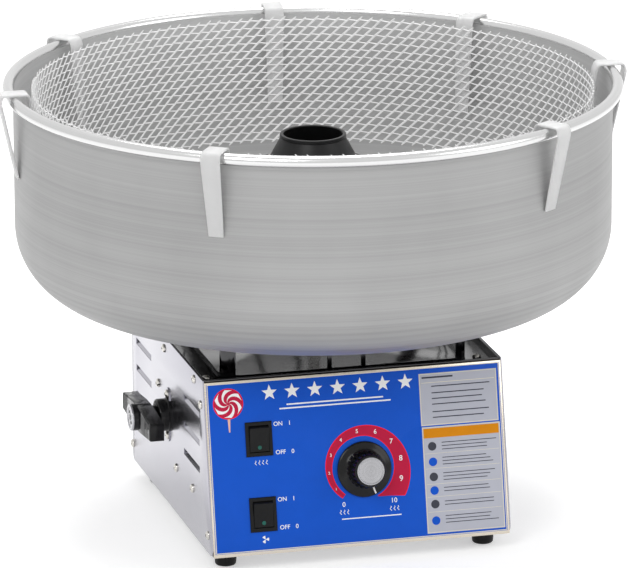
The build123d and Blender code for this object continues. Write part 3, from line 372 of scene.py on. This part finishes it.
def bowlProfile(b):
    outside = b["inside"] + b["wall"]
    middle = outside - b["cornerRadius"]
    slopeTurn = radians(b["slope"])
    cornerEnd = middle + b["cornerRadius"] * sin(slopeTurn)
    cornerEndZ = b["floor"] + (cornerEnd - b["flat"]) * sin(slopeTurn) / cos(slopeTurn)
    cornerZ = cornerEndZ + b["cornerRadius"] * cos(slopeTurn)
    beadMiddle, beadZ = b["inside"] + b["bead"], b["top"] - b["bead"]
    outer = [(b["hole"], b["collarTop"]), (b["hole"], b["floor"] + 4)]
    outer += arc(b["hole"] + 4, b["floor"] + 4, 4, 180, 270, 6)[1:]
    outer += [(116, b["floor"]), (b["flat"], b["floor"])]
    outer += arc(middle, cornerZ, b["cornerRadius"], -90 + b["slope"], 0, 26)
    outer += [(outside, z) for z in (345, 370, 395, 420, 445, 458)]
    for z, depth in sorted(b["ridges"]):
        outer += [(outside, z - 0.6), (outside - depth, z), (outside, z + 0.6)]
    outer += arc(beadMiddle, beadZ, b["bead"], 222, 540, 30)[1:]
    inner = [(b["inside"], z) for z in (460, 445, 420, 395, 370, 345)]
    inner += arc(middle, cornerZ, b["cornerRadius"] - b["wall"], 0, -90 + b["slope"], 26)
    inner += [(b["flat"], b["floor"] + b["wall"]), (116, b["floor"] + b["wall"])]
    inner += arc(b["hole"] + 4, b["floor"] + 4, 4 - b["wall"], 270, 180, 6)
    inner += [(b["hole"] + b["wall"], b["collarTop"])]
    return outer + inner


spunBowl = makePiece("spunBowl", turnedShape(bowlProfile(bowl), bowl["steps"]), finishes["spunBowl"], "bowl",
                     ["bowl"])
spunBowl.data.materials.append(finishes["bowlInsidePaintedLight"])
spunBowl.data.materials.append(finishes["rimPolish"])
for face in spunBowl.data.polygons:  # painted light: the inside gets a brighter copy of the brushed outside's metal, standing in for light on the inside wall; the rim is polished
    outwards = Vector((face.center.x, face.center.y, 0)).normalized() - Vector((0, 0, 1))
    face.material_index = 1 if face.normal.dot(outwards) < -0.05 else 0
    if face.center.z > bowl["polishFrom"] * mm:
        face.material_index = 2
print("bowl spun")

# net
net = {
    "radius": 298.6, "cells": 154, "rows": 16, "foot": 332.5, "pitch": 8.5, "shift": 3.3, "knotRun": 2.1,
    "strand": (1.35, 1.2), "knotWidth": 2.2, "tip": 3.2,
}


def netShape(n):
    shape = bmesh.new()
    cell = 2 * pi / n["cells"]
    perMm = 1 / n["radius"]

    def strand(points, widths):  # a four-sided strand through (turn, z) points on the net's ring
        rings = []
        for k, (turn, z) in enumerate(points):
            before, after = points[max(k - 1, 0)], points[min(k + 1, len(points) - 1)]
            du, dz = (after[0] - before[0]) * n["radius"], after[1] - before[1]
            size = hypot(du, dz) or 1
            au, az = -dz / size, du / size
            ring = []
            for across, out in ((-1, 0), (0, -1), (1, 0), (0, 1)):
                half = widths[k] / 2 * across
                r = n["radius"] + out * n["strand"][1] / 2 * (widths[k] / n["strand"][0]) ** 0.5
                t = turn + half * au * perMm
                ring.append(shape.verts.new((r * cos(t) * mm, r * sin(t) * mm, (z + half * az) * mm)))
            rings.append(ring)
        for first, second in zip(rings, rings[1:]):
            for i in range(4):
                j = (i + 1) % 4
                shape.faces.new((first[i], first[j], second[j], second[i]))
        shape.faces.new(rings[0][::-1])
        shape.faces.new(rings[-1])

    def knot(column, row, end):  # row 0 is the lowest, each lower row stands a little further round
        turn = column * cell + (n["rows"] - row) * n["shift"] * perMm
        wobble = 0.28 * sin(column * 2.7 + row * 1.9)
        return (-turn - (end * n["knotRun"] / 2 + wobble) * perMm,
                n["foot"] + row * n["pitch"] + end * n["knotRun"] / 2 + 0.2 * sin(column * 1.3 + row * 3.1))

    thin, thick = n["strand"][0], n["knotWidth"]
    for column in range(n["cells"]):
        points, widths = [], []
        for row in range(n["rows"] + 1):
            points += [knot(column + row, row, -1), knot(column + row, row, 1)]
            widths += [thick, thick]
        footRun = 1.2 + 1.6 * abs(sin(column * 4.1))
        topRun = n["tip"] * (0.35 + 0.65 * abs(sin(column * 0.9)))
        points = [(points[0][0] + footRun * perMm, points[0][1] - footRun)] + points
        points.append((points[-1][0] - topRun * perMm, points[-1][1] + topRun))
        strand(points, [thin * 0.8] + widths + [thin * 0.8])
        for row in range(n["rows"] + 1):
            start, stop = knot(column, row, 0.6), knot(column + 1, row, -0.6)
            strand([start, stop], [thin, thin])
    return shape


makePiece("floorNet", netShape(net), finishes["netWhite"], "net", ["net"], smooth=80)
print("net knotted")

# clips
clips = {
    "angles": (-122.8, -54.8, -4.8, 42.2, 83.2, 132.2, 178.2), "width": 21, "thickness": 2.2, "edge": 0.45,
    "line": ((320.6, 388), (338.8, 471.7), (336.8, 479.4), (309, 479.4), (306, 471.7), (301.1, 374)),
    "bends": (0, 3, 3.2, 3.2, 3, 0), "tipTaper": 2.4,
}


def softenedLine(points, bends, steps=5):  # a bent line with its corners rounded
    line = [points[0]]
    for k in range(1, len(points) - 1):
        a, b, c = (Vector(points[k + i]) for i in (-1, 0, 1))
        toA, toC = (a - b).normalized(), (c - b).normalized()
        cut = min(bends[k], (a - b).length * 0.45, (c - b).length * 0.45)
        p, q = b + toA * cut, b + toC * cut
        for i in range(steps + 1):
            s = i / steps
            line.append(tuple(p * (1 - s) ** 2 + b * 2 * s * (1 - s) + q * s * s))
    line.append(points[-1])
    return line


def clipShape(c):
    line = softenedLine(c["line"], c["bends"])
    runs = [0]
    for a, b in zip(line, line[1:]):
        runs.append(runs[-1] + hypot(b[0] - a[0], b[1] - a[1]))
    shape = bmesh.new()
    rings = []
    for k, (r, z) in enumerate(line):
        a, b = line[max(k - 1, 0)], line[min(k + 1, len(line) - 1)]
        size = hypot(b[0] - a[0], b[1] - a[1])
        nr, nz = -(b[1] - a[1]) / size, (b[0] - a[0]) / size
        half, t = c["width"] / 2, c["thickness"] / 2
        nearEnd = min(runs[k], runs[-1] - runs[k])
        half -= c["tipTaper"] * max(0.0, 1 - nearEnd / 30)
        corner = c["edge"]
        ring = []
        for s, w in ((t, half - corner), (t - corner, half), (corner - t, half), (-t, half - corner),
                     (-t, corner - half), (corner - t, -half), (t - corner, -half), (t, corner - half)):
            ring.append(shape.verts.new(((r + nr * s) * mm, w * mm, (z + nz * s) * mm)))
        rings.append(ring)
    for first, second in zip(rings, rings[1:]):
        for i in range(8):
            shape.faces.new((first[i], first[(i + 1) % 8], second[(i + 1) % 8], second[i]))
    shape.faces.new(rings[0])
    shape.faces.new(rings[-1])
    bmesh.ops.recalc_face_normals(shape, faces=shape.faces)
    return shape


for number, angle in enumerate(clips["angles"], start=1):
    makePiece(f"hookClip{number}", clipShape(clips), finishes["clipMilky"], "bowl",
              [f"clip_{number}"], Matrix.Rotation(radians(angle), 4, "Z"), smooth=50)
print("clips hooked over the rim")

# spinning head
head = {
    "steps": 120, "rim": 72, "flange": 380, "funnelTop": 417, "funnelRadius": 33.6, "funnelFoot": 52.6,
    "wall": 2, "screws": 6, "screwCircle": 62.5, "screwScale": 0.95,
}


def funnelProfile(h):
    top, foot = h["funnelTop"], h["flange"]
    mouth, base = h["funnelRadius"], h["funnelFoot"]
    return [
        (mouth - h["wall"], top - 0.8), (mouth - h["wall"] + 0.7, top), (mouth + 1.2, top),
        (mouth + 1.9, top - 0.8), (mouth + 1.9, top - 3.4), (mouth + 1.2, top - 4.2),
        (base - 1.4, foot + 2.6), (base + 1.6, foot),
        (h["rim"] - 1, foot), (h["rim"], foot - 0.9), (h["rim"], foot - 2), (base - 1, foot - 2),
    ]


makePiece("headFunnel", turnedShape(funnelProfile(head), head["steps"]), finishes["headBlack"], "spinner",
          ["head_cap"])
floorProfile = [(6.35, 324), (30, 324), (69, 332.8), (71.2, 333.4), (72, 334.4), (72, 337), (68.6, 337),
                (66, 336.4), (30, 327), (14, 327), (14, 344.5), (12.6, 346), (6.35, 346)]
makePiece("headFloor", turnedShape(floorProfile, head["steps"]), finishes["headBlack"], "spinner",
          ["head_base"])
print("head turned")

# screws
screwHead = {"radius": 4.7, "height": 3.0, "slot": (4.6, 0.95), "slotDepth": 1.3}


def screwShape(s):
    dome = [(0, s["height"])] + [(s["radius"] * sin(radians(a)) / sin(radians(78)),
                                 s["height"] * cos(radians(a)) ** 0.8) for a in (14, 28, 42, 56, 68, 78)]
    dome += [(s["radius"], 0.5), (s["radius"], 0), (0, 0)]
    made = []
    along, across = ((-size / 2, size / 2) for size in s["slot"])
    depth = (s["height"] - s["slotDepth"], s["height"] + 1)
    for name, shape in (("dome", turnedShape(dome, 28, closed=False)),
                        ("slotA", boxShape(along, across, depth)), ("slotB", boxShape(across, along, depth))):
        mesh = bpy.data.meshes.new(name)
        shape.to_mesh(mesh)
        shape.free()
        thing = bpy.data.objects.new(name, mesh)
        bpy.context.collection.objects.link(thing)
        made.append(thing)
    for cutter in made[1:]:
        cut = made[0].modifiers.new("cut", "BOOLEAN")
        cut.operation, cut.object, cut.solver = "DIFFERENCE", cutter, "EXACT"
    result = made[0].evaluated_get(bpy.context.evaluated_depsgraph_get()).to_mesh()
    shape = bmesh.new()
    shape.from_mesh(result)
    for thing in made:
        bpy.data.objects.remove(thing)
    return shape


oneScrew = screwShape(screwHead)


def screwSet(name, places, body="cabinet", stands=(), scale=1.0):  # each screw stops at another turn
    whole = bmesh.new()
    for k, place in enumerate(places):
        addShape(whole, oneScrew, place @ Matrix.Rotation(0.9 * k, 4, "Z") @ Matrix.Scale(scale, 4))
    return makePiece(name, whole, finishes["screwSteel"], body, stands, smooth=30)


wallScrews = ((9, 188), (-126, 193), (37, 141), (-154, 173), (-42.5, 69.5), (-115, 69), (-182.5, 38), (159, 36))
edgeScrews = ((9, 188), (-126, 193), (-154, 173), (-182.5, 38), (159, 36), (150, 173), (37, 141), (-42.5, 69.5))
screwSet("leftWallScrews", [facingLeft(y, z) for y, z in wallScrews])
screwSet("rightWallScrews", [facingRight(y, z) for y, z in edgeScrews])
screwSet("backScrews", [facingBack(x, z) for x in (-150, 0, 150) for z in (30, 190)])
handleSpot = {"y": -8, "z": 119, "screws": 23, "screwFoot": 164.2}  # on the left wall, screws above and below
screwHeights = [handleSpot["z"] + side * handleSpot["screws"] for side in (-1, 1)]
handleScrews = [facingLeft(handleSpot["y"], z, handleSpot["screwFoot"]) for z in screwHeights]
screwSet("handlePlateScrews", handleScrews, stands=["handle_screws"])
headTurns = [Matrix.Rotation(radians(360 / head["screws"] * k), 4, "Z") for k in range(head["screws"])]
headScrews = [turn @ lyingAt(head["screwCircle"], 0, head["flange"]) for turn in headTurns]
screwSet("headScrews", headScrews, "spinner", ["head_screws"], head["screwScale"])
screwSet("deckScrews", [lyingAt(x, y, 190.5) for x in (-148, 148) for y in (-118, 118)])
oneScrew.free()
print("screws driven")

# louvre flaps: each is cut along its top and ends, and pressed in from its sill
flaps = {
    "length": 70, "height": 7, "foot": 95.5, "pitch": 30, "rows": 3, "depth": 6.2, "sheet": 1.2,
    "sideY": (-112, 105),
}


def flapSet(name, places, length):  # each place looks outwards, with its origin at the middle of a sill
    whole = bmesh.new()
    half = length / 2 - 0.2
    outline = [
        (0.15, -0.3), (0.15 + flaps["height"], -flaps["depth"]),
        (0.15 + flaps["height"] - 0.25, -flaps["depth"] - flaps["sheet"]), (-0.6, -0.3 - flaps["sheet"] * 0.8),
    ]
    for place in places:
        one = bmesh.new()
        ends = [[one.verts.new((x * mm, up * mm, out * mm)) for up, out in outline] for x in (-half, half)]
        one.faces.new(ends[0])
        one.faces.new(ends[1][::-1])
        for i in range(4):
            j = (i + 1) % 4
            one.faces.new((ends[0][i], ends[1][i], ends[1][j], ends[0][j]))
        bmesh.ops.recalc_face_normals(one, faces=one.faces)
        addShape(whole, one, place)
        one.free()
    return makePiece(name, whole, finishes["sheetSteel"], "cabinet", smooth=30)


sills = [flaps["foot"] + row * flaps["pitch"] for row in range(flaps["rows"])]
flapSet("leftLouvres", [facingLeft(y, z) for y in flaps["sideY"] for z in sills], flaps["length"])
flapSet("rightLouvres", [facingRight(y, z) for y in flaps["sideY"] for z in sills], flaps["length"])
flapSet("backLouvres", [facingBack(0, z) for z in sills], 2 * flaps["length"])
print("louvres pressed")

# feet
feet = {
    "front_left": (-141, -168), "front_right": (141, -168),
    "back_left": (-141, 125.5), "back_right": (141, 125.5),
}
footProfile = [
    (0, 0), (8.6, 0), (10.2, 0.5), (11.1, 1.6), (11.4, 3.2), (12.1, 16.8), (12, 17.6), (11.4, 18), (0, 18),
]
for corner, (x, y) in feet.items():
    makePiece("foot" + corner.title().replace("_", ""), turnedShape(footProfile, 48, closed=False),
              finishes["footRubber"], "cabinet", [f"foot_{corner}"], lyingAt(x, y))
print("feet set")

# prints on the front
ink = {"layer": 0.07}


def printed(name, outlines, finish, layer=1, body="cabinet"):  # outlines are in x and drop from the top edge
    height = panel["printHeight"]
    shape = slabShape([[(x, -drop) for x, drop in outline] for outline in outlines],
                      height - 0.02, height + ink["layer"] * layer)
    return makePiece(name, shape, finish, body, matrix=onPanel(0, 0), smooth=30)


def bar(x0, drop0, x1, drop1):
    return [(x0, drop0), (x1, drop0), (x1, drop1), (x0, drop1)]


def framed(x0, drop0, x1, drop1, width):  # four bars of a thin frame
    inTop, inFoot = drop0 + width, drop1 - width
    return [bar(x0, drop0, x1, inTop), bar(x0, inFoot, x1, drop1),
            bar(x0, inTop, x0 + width, inFoot), bar(x1 - width, inTop, x1, inFoot)]


def stroke(points, width):  # an even line through points, as one outline each run
    outlines = []
    for (x0, d0), (x1, d1) in zip(points, points[1:]):
        size = hypot(x1 - x0, d1 - d0)
        nx, nd = -(d1 - d0) / size * width / 2, (x1 - x0) / size * width / 2
        outlines.append([(x0 + nx, d0 + nd), (x1 + nx, d1 + nd), (x1 - nx, d1 - nd), (x0 - nx, d0 - nd)])
    return outlines


def star(cx, cd, radius, points=5, inner=0.42):
    outline = []
    for k in range(2 * points):
        turn, reach = pi / 2 + pi * k / points, radius * (1 if k % 2 == 0 else inner)
        outline.append((cx + reach * cos(turn), cd - reach * sin(turn)))
    return outline


def printedWords(name, words, finish, layer=1):  # each is (text, x, drop, size); generic marks only
    whole = bmesh.new()
    for text, x, drop, size in words:
        curve = bpy.data.curves.new(name, "FONT")
        curve.body, curve.size = text, size * mm * 1.38
        curve.align_x, curve.align_y = "CENTER", "CENTER"
        curve.offset, curve.extrude, curve.resolution_u = 0.00006, ink["layer"] * mm * layer / 2, 4
        thing = bpy.data.objects.new(name, curve)
        bpy.context.collection.objects.link(thing)
        made = thing.evaluated_get(bpy.context.evaluated_depsgraph_get()).to_mesh()
        one = bmesh.new()
        one.from_mesh(made)
        lift = panel["printHeight"] + ink["layer"] * layer / 2
        addShape(whole, one, onPanel(x, drop, lift))
        one.free()
        bpy.data.objects.remove(thing)
    return makePiece(name, whole, finish, "cabinet", smooth=30)


title = {
    "stars": 7, "from": -92, "to": 56, "drop": 17.5, "radius": 8.6,
    "lines": ((-74, 30.5, 31), (-82, 34.5, 39)), "lineWidth": 1.5,  # start, drop and end of each line
}
gap = (title["to"] - title["from"]) / (title["stars"] - 1)
stars = [star(title["from"] + k * gap, title["drop"], title["radius"]) for k in range(title["stars"])]
printed("titleStars", stars, finishes["inkWhite"])
titleLines = [bar(x0, drop, x1, drop + title["lineWidth"]) for x0, drop, x1 in title["lines"]]
printed("titleLines", titleLines, finishes["inkWhite"])

sweet = {"x": -137, "drop": 26, "radius": 15.4, "swirls": 6, "turn": 95, "stickFoot": 56}


def swirlArm(s, k):  # one white arm of the sweet's swirl
    near, far = [], []
    for i in range(15):
        share = i / 14
        radius = s["radius"] * (0.08 + 0.9 * share)
        turn = radians(360 * k / s["swirls"] + s["turn"] * share)
        half = radians(3 + 13 * share)
        near.append((s["x"] + radius * cos(turn - half), s["drop"] + radius * sin(turn - half)))
        far.append((s["x"] + radius * cos(turn + half), s["drop"] + radius * sin(turn + half)))
    return near + far[::-1]


disc = arc(sweet["x"], sweet["drop"], sweet["radius"], 0, 360 - 7.5, 47)
rim = arc(sweet["x"], sweet["drop"], sweet["radius"] + 0.9, 0, 360 - 7.5, 47)
printed("sweetStick", [[(sweet["x"] - 1.7, sweet["drop"] + 12), (sweet["x"] + 1.7, sweet["drop"] + 12),
                        (sweet["x"] + 0.7, sweet["stickFoot"]), (sweet["x"] - 0.7, sweet["stickFoot"])]],
        finishes["inkStick"])
printed("sweetRim", [rim], finishes["inkRed"], 1.5)
printed("sweetDisc", [disc], finishes["inkCrimson"], 2)
printed("sweetSwirl", [swirlArm(sweet, k) for k in range(sweet["swirls"])], finishes["inkWhite"], 3)

heat = {
    "x": 5.1, "drop": 104.5, "inner": 34.7, "thin": 232, "wide": -37, "insideEnd": -66, "lowest": 136.5,
    "border": 1.0, "widths": (3.4, 10, 6), "numbersFrom": 214, "numbersTo": -20,
}


def dialShare(h, angle):  # 0 at the band's thin end, 1 at its wide one
    return (h["thin"] - angle) / (h["thin"] - h["wide"])


def bandWidth(h, share):
    start, rise, flare = h["widths"]
    return start + rise * share + flare * share ** 4


def heatBand(h, grow=0.0):  # a band that widens as the heat goes up
    insideEdge, outsideEdge = [], []
    for i in range(73):
        for edge, last, side in ((insideEdge, h["insideEnd"], 0), (outsideEdge, h["wide"], 1)):
            angle = h["thin"] + (last - h["thin"]) * i / 72
            width = bandWidth(h, dialShare(h, angle))
            radius = h["inner"] + width + grow if side else h["inner"] - grow
            x, drop = h["x"] + radius * cos(radians(angle)), h["drop"] - radius * sin(radians(angle))
            edge.append((x, min(drop, h["lowest"] + grow)))
    return insideEdge + outsideEdge[::-1]


printed("heatBorder", [heatBand(heat, heat["border"])], finishes["inkRed"])
printed("heatBand", [heatBand(heat)], finishes["inkCrimson"], 2)
dial = []
for k in range(1, 10):
    angle = heat["numbersFrom"] - (heat["numbersFrom"] - heat["numbersTo"]) * (k - 1) / 8
    share = dialShare(heat, angle)
    radius = heat["inner"] + bandWidth(heat, share) / 2
    x, drop = heat["x"] + radius * cos(radians(angle)), heat["drop"] - radius * sin(radians(angle))
    dial.append((str(k), x, drop, 2.2 + 4.4 * share))
printedWords("dialNumbers", dial, finishes["inkWhite"], 3)
printedWords("dialEnds", [("0", -18, 142, 5.2), ("10", 36.7, 141.7, 5.2)], finishes["inkWhite"])
marks = []
for drop in (51, 130.7):
    marks += [("ON", -84.5, drop, 4.6), ("I", -72, drop, 4.6)]
for drop in (81, 160.4):
    marks += [("OFF", -83.2, drop, 4.6), ("0", -70, drop, 4.6)]
printedWords("switchMarks", marks, finishes["inkWhite"])


def heatWave(x, drop, step, width):  # one small wave, running down
    return stroke([(x + 0.8 * sin(i * 1.05), drop + i * step) for i in range(9)], width)


waves = []
for x in (-18, 36.7):  # under both ends of the dial
    for side in (-4, 0, 4):
        waves += heatWave(x + side, 147.5, 0.62, 0.7)
for side in (-6, -2, 2, 6):  # under the upper switch
    waves += heatWave(-105 + side, 88, 0.6, 0.6)
printed("heatWaves", waves, finishes["inkWhite"])
fan = {"x": -105, "drop": 171.5, "radius": 3.9, "halfBlade": 28}  # a plain sign under the lower switch
blades = [arc(fan["x"], fan["drop"], fan["radius"], turn - fan["halfBlade"], turn + fan["halfBlade"], 6)
          + [(fan["x"], fan["drop"])] for turn in (0, 120, 240)]
printed("fanSign", blades, finishes["inkWhite"])
printed("captionLine", [bar(-21, 156.6, 44, 157.7)], finishes["inkWhite"])
printed("overlayFrame", framed(-159, 4.4, 159, 183.2, 0.9), finishes["inkCream"])

labels = {"upper": (70.8, 10.5, 156, 66), "lower": (71.3, 67.2, 157, 180.3), "band": (72.7, 69, 155.4, 79.2)}
for which in ("upper", "lower"):
    printed(f"{which}Label", [bar(*labels[which])], finishes["inkGrey"])
    x0, d0, x1, d1 = labels[which]
    printed(f"{which}LabelFrame", framed(x0 + 0.5, d0 + 0.5, x1 - 0.5, d1 - 0.5, 0.7), finishes["inkCream"], 2)
printed("labelBand", [bar(*labels["band"])], finishes["inkOrange"], 2)
rows = [bar(73.4, 20.2, 153.4, 20.8)]
rows += [bar(73.4, d, 154.6, d + 0.35) for d in (95.5, 111.5, 128, 141.5, 157.5)]
printed("labelRows", rows, finishes["inkCream"], 2)
ruled = [bar(74, 15 - 0.9, 108, 15 + 0.9)]
for k, drop in enumerate((24.5, 31.5, 37.5, 43.5, 51.5, 57.5)):
    ruled.append(bar(84, drop - 0.55, 148 - 9 * abs(sin(2.3 * k)), drop + 0.55))
for row, drop in enumerate((84.5, 100.5, 117, 132.5, 147, 162.5)):
    for k in range(3 if row not in (3, 4) else 2):
        d = drop + 3.6 * k
        ruled.append(bar(92, d - 0.4, 152 - 12 * abs(sin(1.7 * row + 2.1 * k)), d + 0.4))
printed("labelRuledLines", ruled, finishes["inkDark"], 2)
rounds = [arc(81.5, drop, 4.6, 0, 345, 23) for drop in (88, 104.5, 120.5, 135, 149.5, 167)]
printed("labelDots", rounds[::2], finishes["inkDark"], 2)
printed("labelRings", rounds[1::2], finishes["overlayBlue"], 2)
print("front printed")

# heat knob
knob = {
    "x": 6, "drop": 106, "flutes": 22, "fluteDepth": 1.0, "flutedRadii": (17.3, 19.8), "flutedFrom": 6,
    "pointer": (20.9, 28.6), "pointerTurn": -68, "pointerSlant": 14, "pointerZ": 5.35,
}
knobProfile = [
    (0, 20), (3, 20), (3, 8.1), (7.7, 8.1), (7.7, 1.2), (28.9, 1.2), (29.5, 1.6), (29.5, 2.4), (29.1, 3.0),
    (27.6, 3.6), (24.6, 4.3), (21.8, 5.1), (20.6, 5.9), (19.7, 7.0), (19.4, 8.6), (19, 13), (18.2, 20),
    (17.4, 25.6), (17.0, 27.2), (16.2, 28), (14.8, 28), (0, 28),
]
least, most = knob["flutedRadii"]
fluted = {i for i, (radius, z) in enumerate(knobProfile) if least <= radius <= most and z > knob["flutedFrom"]}


def flute(i, turn):
    return -knob["fluteDepth"] * max(0.0, cos(knob["flutes"] * turn)) ** 1.5 if i in fluted else 0.0


knobPlace = onPanel(knob["x"], knob["drop"])
makePiece("heatKnob", turnedShape(knobProfile, 264, closed=False, wave=flute), finishes["blackGloss"],
          "heat_knob", ["knob"], knobPlace, smooth=42)
near, far = knob["pointer"]
pointer = slabShape([[(near, -0.8), (far, -0.9), (far, 0.9), (near, 0.8)]], 0, 0.25)
slant = Matrix.Rotation(radians(knob["pointerSlant"]), 4, "Y")  # down the skirt
slant = lyingAt(near, 0, knob["pointerZ"]) @ slant @ lyingAt(-near, 0)
pointerPlace = knobPlace @ Matrix.Rotation(radians(knob["pointerTurn"]), 4, "Z") @ slant
makePiece("knobPointer", pointer, finishes["inkWhite"], "heat_knob", matrix=pointerPlace)
capProfile = [
    (0, 29.15), (12.6, 29.15), (12.9, 28.9), (13.2, 28.95), (13.5, 29.3), (14.3, 29.3), (14.7, 28.9),
    (14.7, 28), (0, 28),
]
makePiece("knobDisc", turnedShape(capProfile, 96, closed=False), finishes["capSteel"], "heat_knob",
          ["knob_cap"], knobPlace, origin=knobPlace)
print("knob fitted")

# turn handle: a black drum on a steel plate, and the disc on its hub with a black bar of painted shade for its
# slot
handle = {"drum": 18.4, "hole": 6.05, "plate": 1.2, "plateEnd": 7, "slot": (15.5, 3), "slotShadeTurn": -60}
handlePlace = facingLeft(handleSpot["y"], handleSpot["z"])
drumProfile = [
    (handle["hole"], 0), (handle["drum"], 0), (handle["drum"], 2.4), (17.6, 3.2), (17.6, 11.6), (17.2, 12.9),
    (16.2, 13.8), (14.8, 14), (handle["hole"], 14),
]
makePiece("handleDrum", turnedShape(drumProfile, 72), finishes["blackGloss"], "cabinet",
          ["handle_base"], handlePlace)
plateOutline = arc(0, handleSpot["screws"], handle["plateEnd"], 0, 180, 12)
plateOutline += arc(0, -handleSpot["screws"], handle["plateEnd"], 180, 360, 12)
makePiece("handlePlate", slabShape([plateOutline], 0, handle["plate"]), finishes["sheetSteel"], "cabinet",
          matrix=handlePlace, smooth=30)
coinProfile = [
    (0, 42.1), (3.2, 42.1), (3.6, 42.5), (4.4, 42.5), (4.8, 42.1), (10.6, 42.1), (11.2, 42.8), (13.6, 43),
    (14.3, 42.6), (14.5, 41.9), (14.5, 41), (0, 41),
]
makePiece("handleDisc", turnedShape(coinProfile, 72, closed=False), finishes["capSteel"], "turn_handle",
          ["handle_cap"], handlePlace, origin=handlePlace)
# painted shade: a thin black bar on the steel disc stands for the shade inside its slot
slotShadeBar = boxShape(*((-size / 2, size / 2) for size in handle["slot"]), (41.9, 42.45), 0.15)
makePiece("handleDiscSlotShade", slotShadeBar, finishes["blackMatte"], "turn_handle",
          matrix=handlePlace @ Matrix.Rotation(radians(handle["slotShadeTurn"]), 4, "Z"))
print("handle capped")

# studio
studio = {
    "floorSize": 16, "worldLight": 0.6, "floorGlow": 0.42,
    "lamps": (  # name, place, size, watts
        ("keyLamp", (-2.4, -3.0, 3.2), 2.4, 62), ("fillLamp", (3.2, -2.6, 2.0), 2.6, 34),
        ("topLamp", (0.2, 1.2, 3.6), 2.4, 90),
    ),
}


def seenPlainly(tree):  # 1 for what the eye, a mirror or a clear thing sees, 0 for other light
    paths = addNode(tree, "ShaderNodeLightPath")
    known = paths.outputs["Is Camera Ray"]
    for ray in ("Is Glossy Ray", "Is Transmission Ray"):
        either = addNode(tree, "ShaderNodeMath")
        either.operation = "MAXIMUM"
        tree.links.new(known, either.inputs[0])
        tree.links.new(paths.outputs[ray], either.inputs[1])
        known = either.outputs[0]
    return known


floorShape = bmesh.new()
half = studio["floorSize"] / 2
floorCorners = ((-half, -half), (half, -half), (half, half), (-half, half))
floorShape.faces.new([floorShape.verts.new((x, y, 0)) for x, y in floorCorners])
floorMesh = bpy.data.meshes.new("studioFloor")
floorShape.to_mesh(floorMesh)
floorShape.free()
studioFloor = bpy.data.objects.new("studioFloor", floorMesh)
bpy.context.collection.objects.link(studioFloor)

floorFinish, tree, shader = startFinish("floorPaper", Roughness=0.9)
paper = stretchedNoise(tree, (1, 1, 1), 30, 3)
paperShade = tint(tree, spread(tree, paper, 0, 1), (0.79, 0.79, 0.79), (0.81, 0.81, 0.81))
tree.links.new(paperShade, shader.inputs["Base Color"])
glow = addNode(tree, "ShaderNodeEmission", Strength=studio["floorGlow"])
lifted = addNode(tree, "ShaderNodeAddShader")
tree.links.new(shader.outputs[0], lifted.inputs[0])
tree.links.new(glow.outputs[0], lifted.inputs[1])
asSeen = addNode(tree, "ShaderNodeMixShader")  # lifted paper for the eye and mirrors, plain for other light
tree.links.new(seenPlainly(tree), asSeen.inputs[0])
tree.links.new(shader.outputs[0], asSeen.inputs[1])
tree.links.new(lifted.outputs[0], asSeen.inputs[2])
tree.links.new(asSeen.outputs[0], tree.nodes["Material Output"].inputs["Surface"])
floorMesh.materials.append(floorFinish)

world = bpy.data.worlds.new("studioWorld")
bpy.context.scene.world = world
world.use_nodes = True
tree = world.node_tree
tree.nodes.clear()
soft = addNode(tree, "ShaderNodeBackground", Color=(1, 1, 1, 1), Strength=studio["worldLight"])
clean = addNode(tree, "ShaderNodeBackground", Color=(1, 1, 1, 1), Strength=1.0)
choose = addNode(tree, "ShaderNodeMixShader")
tree.links.new(seenPlainly(tree), choose.inputs[0])
tree.links.new(soft.outputs[0], choose.inputs[1])
tree.links.new(clean.outputs[0], choose.inputs[2])
sky = addNode(tree, "ShaderNodeOutputWorld")
tree.links.new(choose.outputs[0], sky.inputs["Surface"])

for name, place, size, power in studio["lamps"]:
    lamp = bpy.data.lights.new(name, "AREA")
    lamp.energy, lamp.size, lamp.shape = power, size, "DISK"
    lampObject = bpy.data.objects.new(name, lamp)
    bpy.context.collection.objects.link(lampObject)
    lampObject.location = place
    lampObject.rotation_euler = (Vector((0, 0, 0.25)) - Vector(place)).to_track_quat("-Z", "Y").to_euler()

camera = {"place": (-1.7166, -6.5103, 2.189), "yaw": 14.79, "pitch": 16.07, "roll": -0.16, "lens": 372.6}
sy, cy = sin(radians(camera["yaw"])), cos(radians(camera["yaw"]))
sp, cp = sin(radians(camera["pitch"])), cos(radians(camera["pitch"]))
forward = Vector((sy * cp, cy * cp, -sp))
right = Vector((cy, -sy, 0))
up = right.cross(forward)
cr, sr = cos(radians(camera["roll"])), sin(radians(camera["roll"]))
rightTurned, upTurned = right * cr + up * sr, up * cr - right * sr
view = bpy.data.cameras.new("shopCamera")
view.lens, view.sensor_width, view.sensor_fit = camera["lens"], 36, "HORIZONTAL"
view.clip_start, view.clip_end = 0.1, 60
shopCamera = bpy.data.objects.new("shopCamera", view)
bpy.context.collection.objects.link(shopCamera)
shopCamera.matrix_world = Matrix((
    (rightTurned.x, upTurned.x, -forward.x, camera["place"][0]),
    (rightTurned.y, upTurned.y, -forward.y, camera["place"][1]),
    (rightTurned.z, upTurned.z, -forward.z, camera["place"][2]),
    (0, 0, 0, 1)))
bpy.context.scene.camera = shopCamera
bpy.context.scene.view_settings.view_transform = "Standard"
print("studio lit")
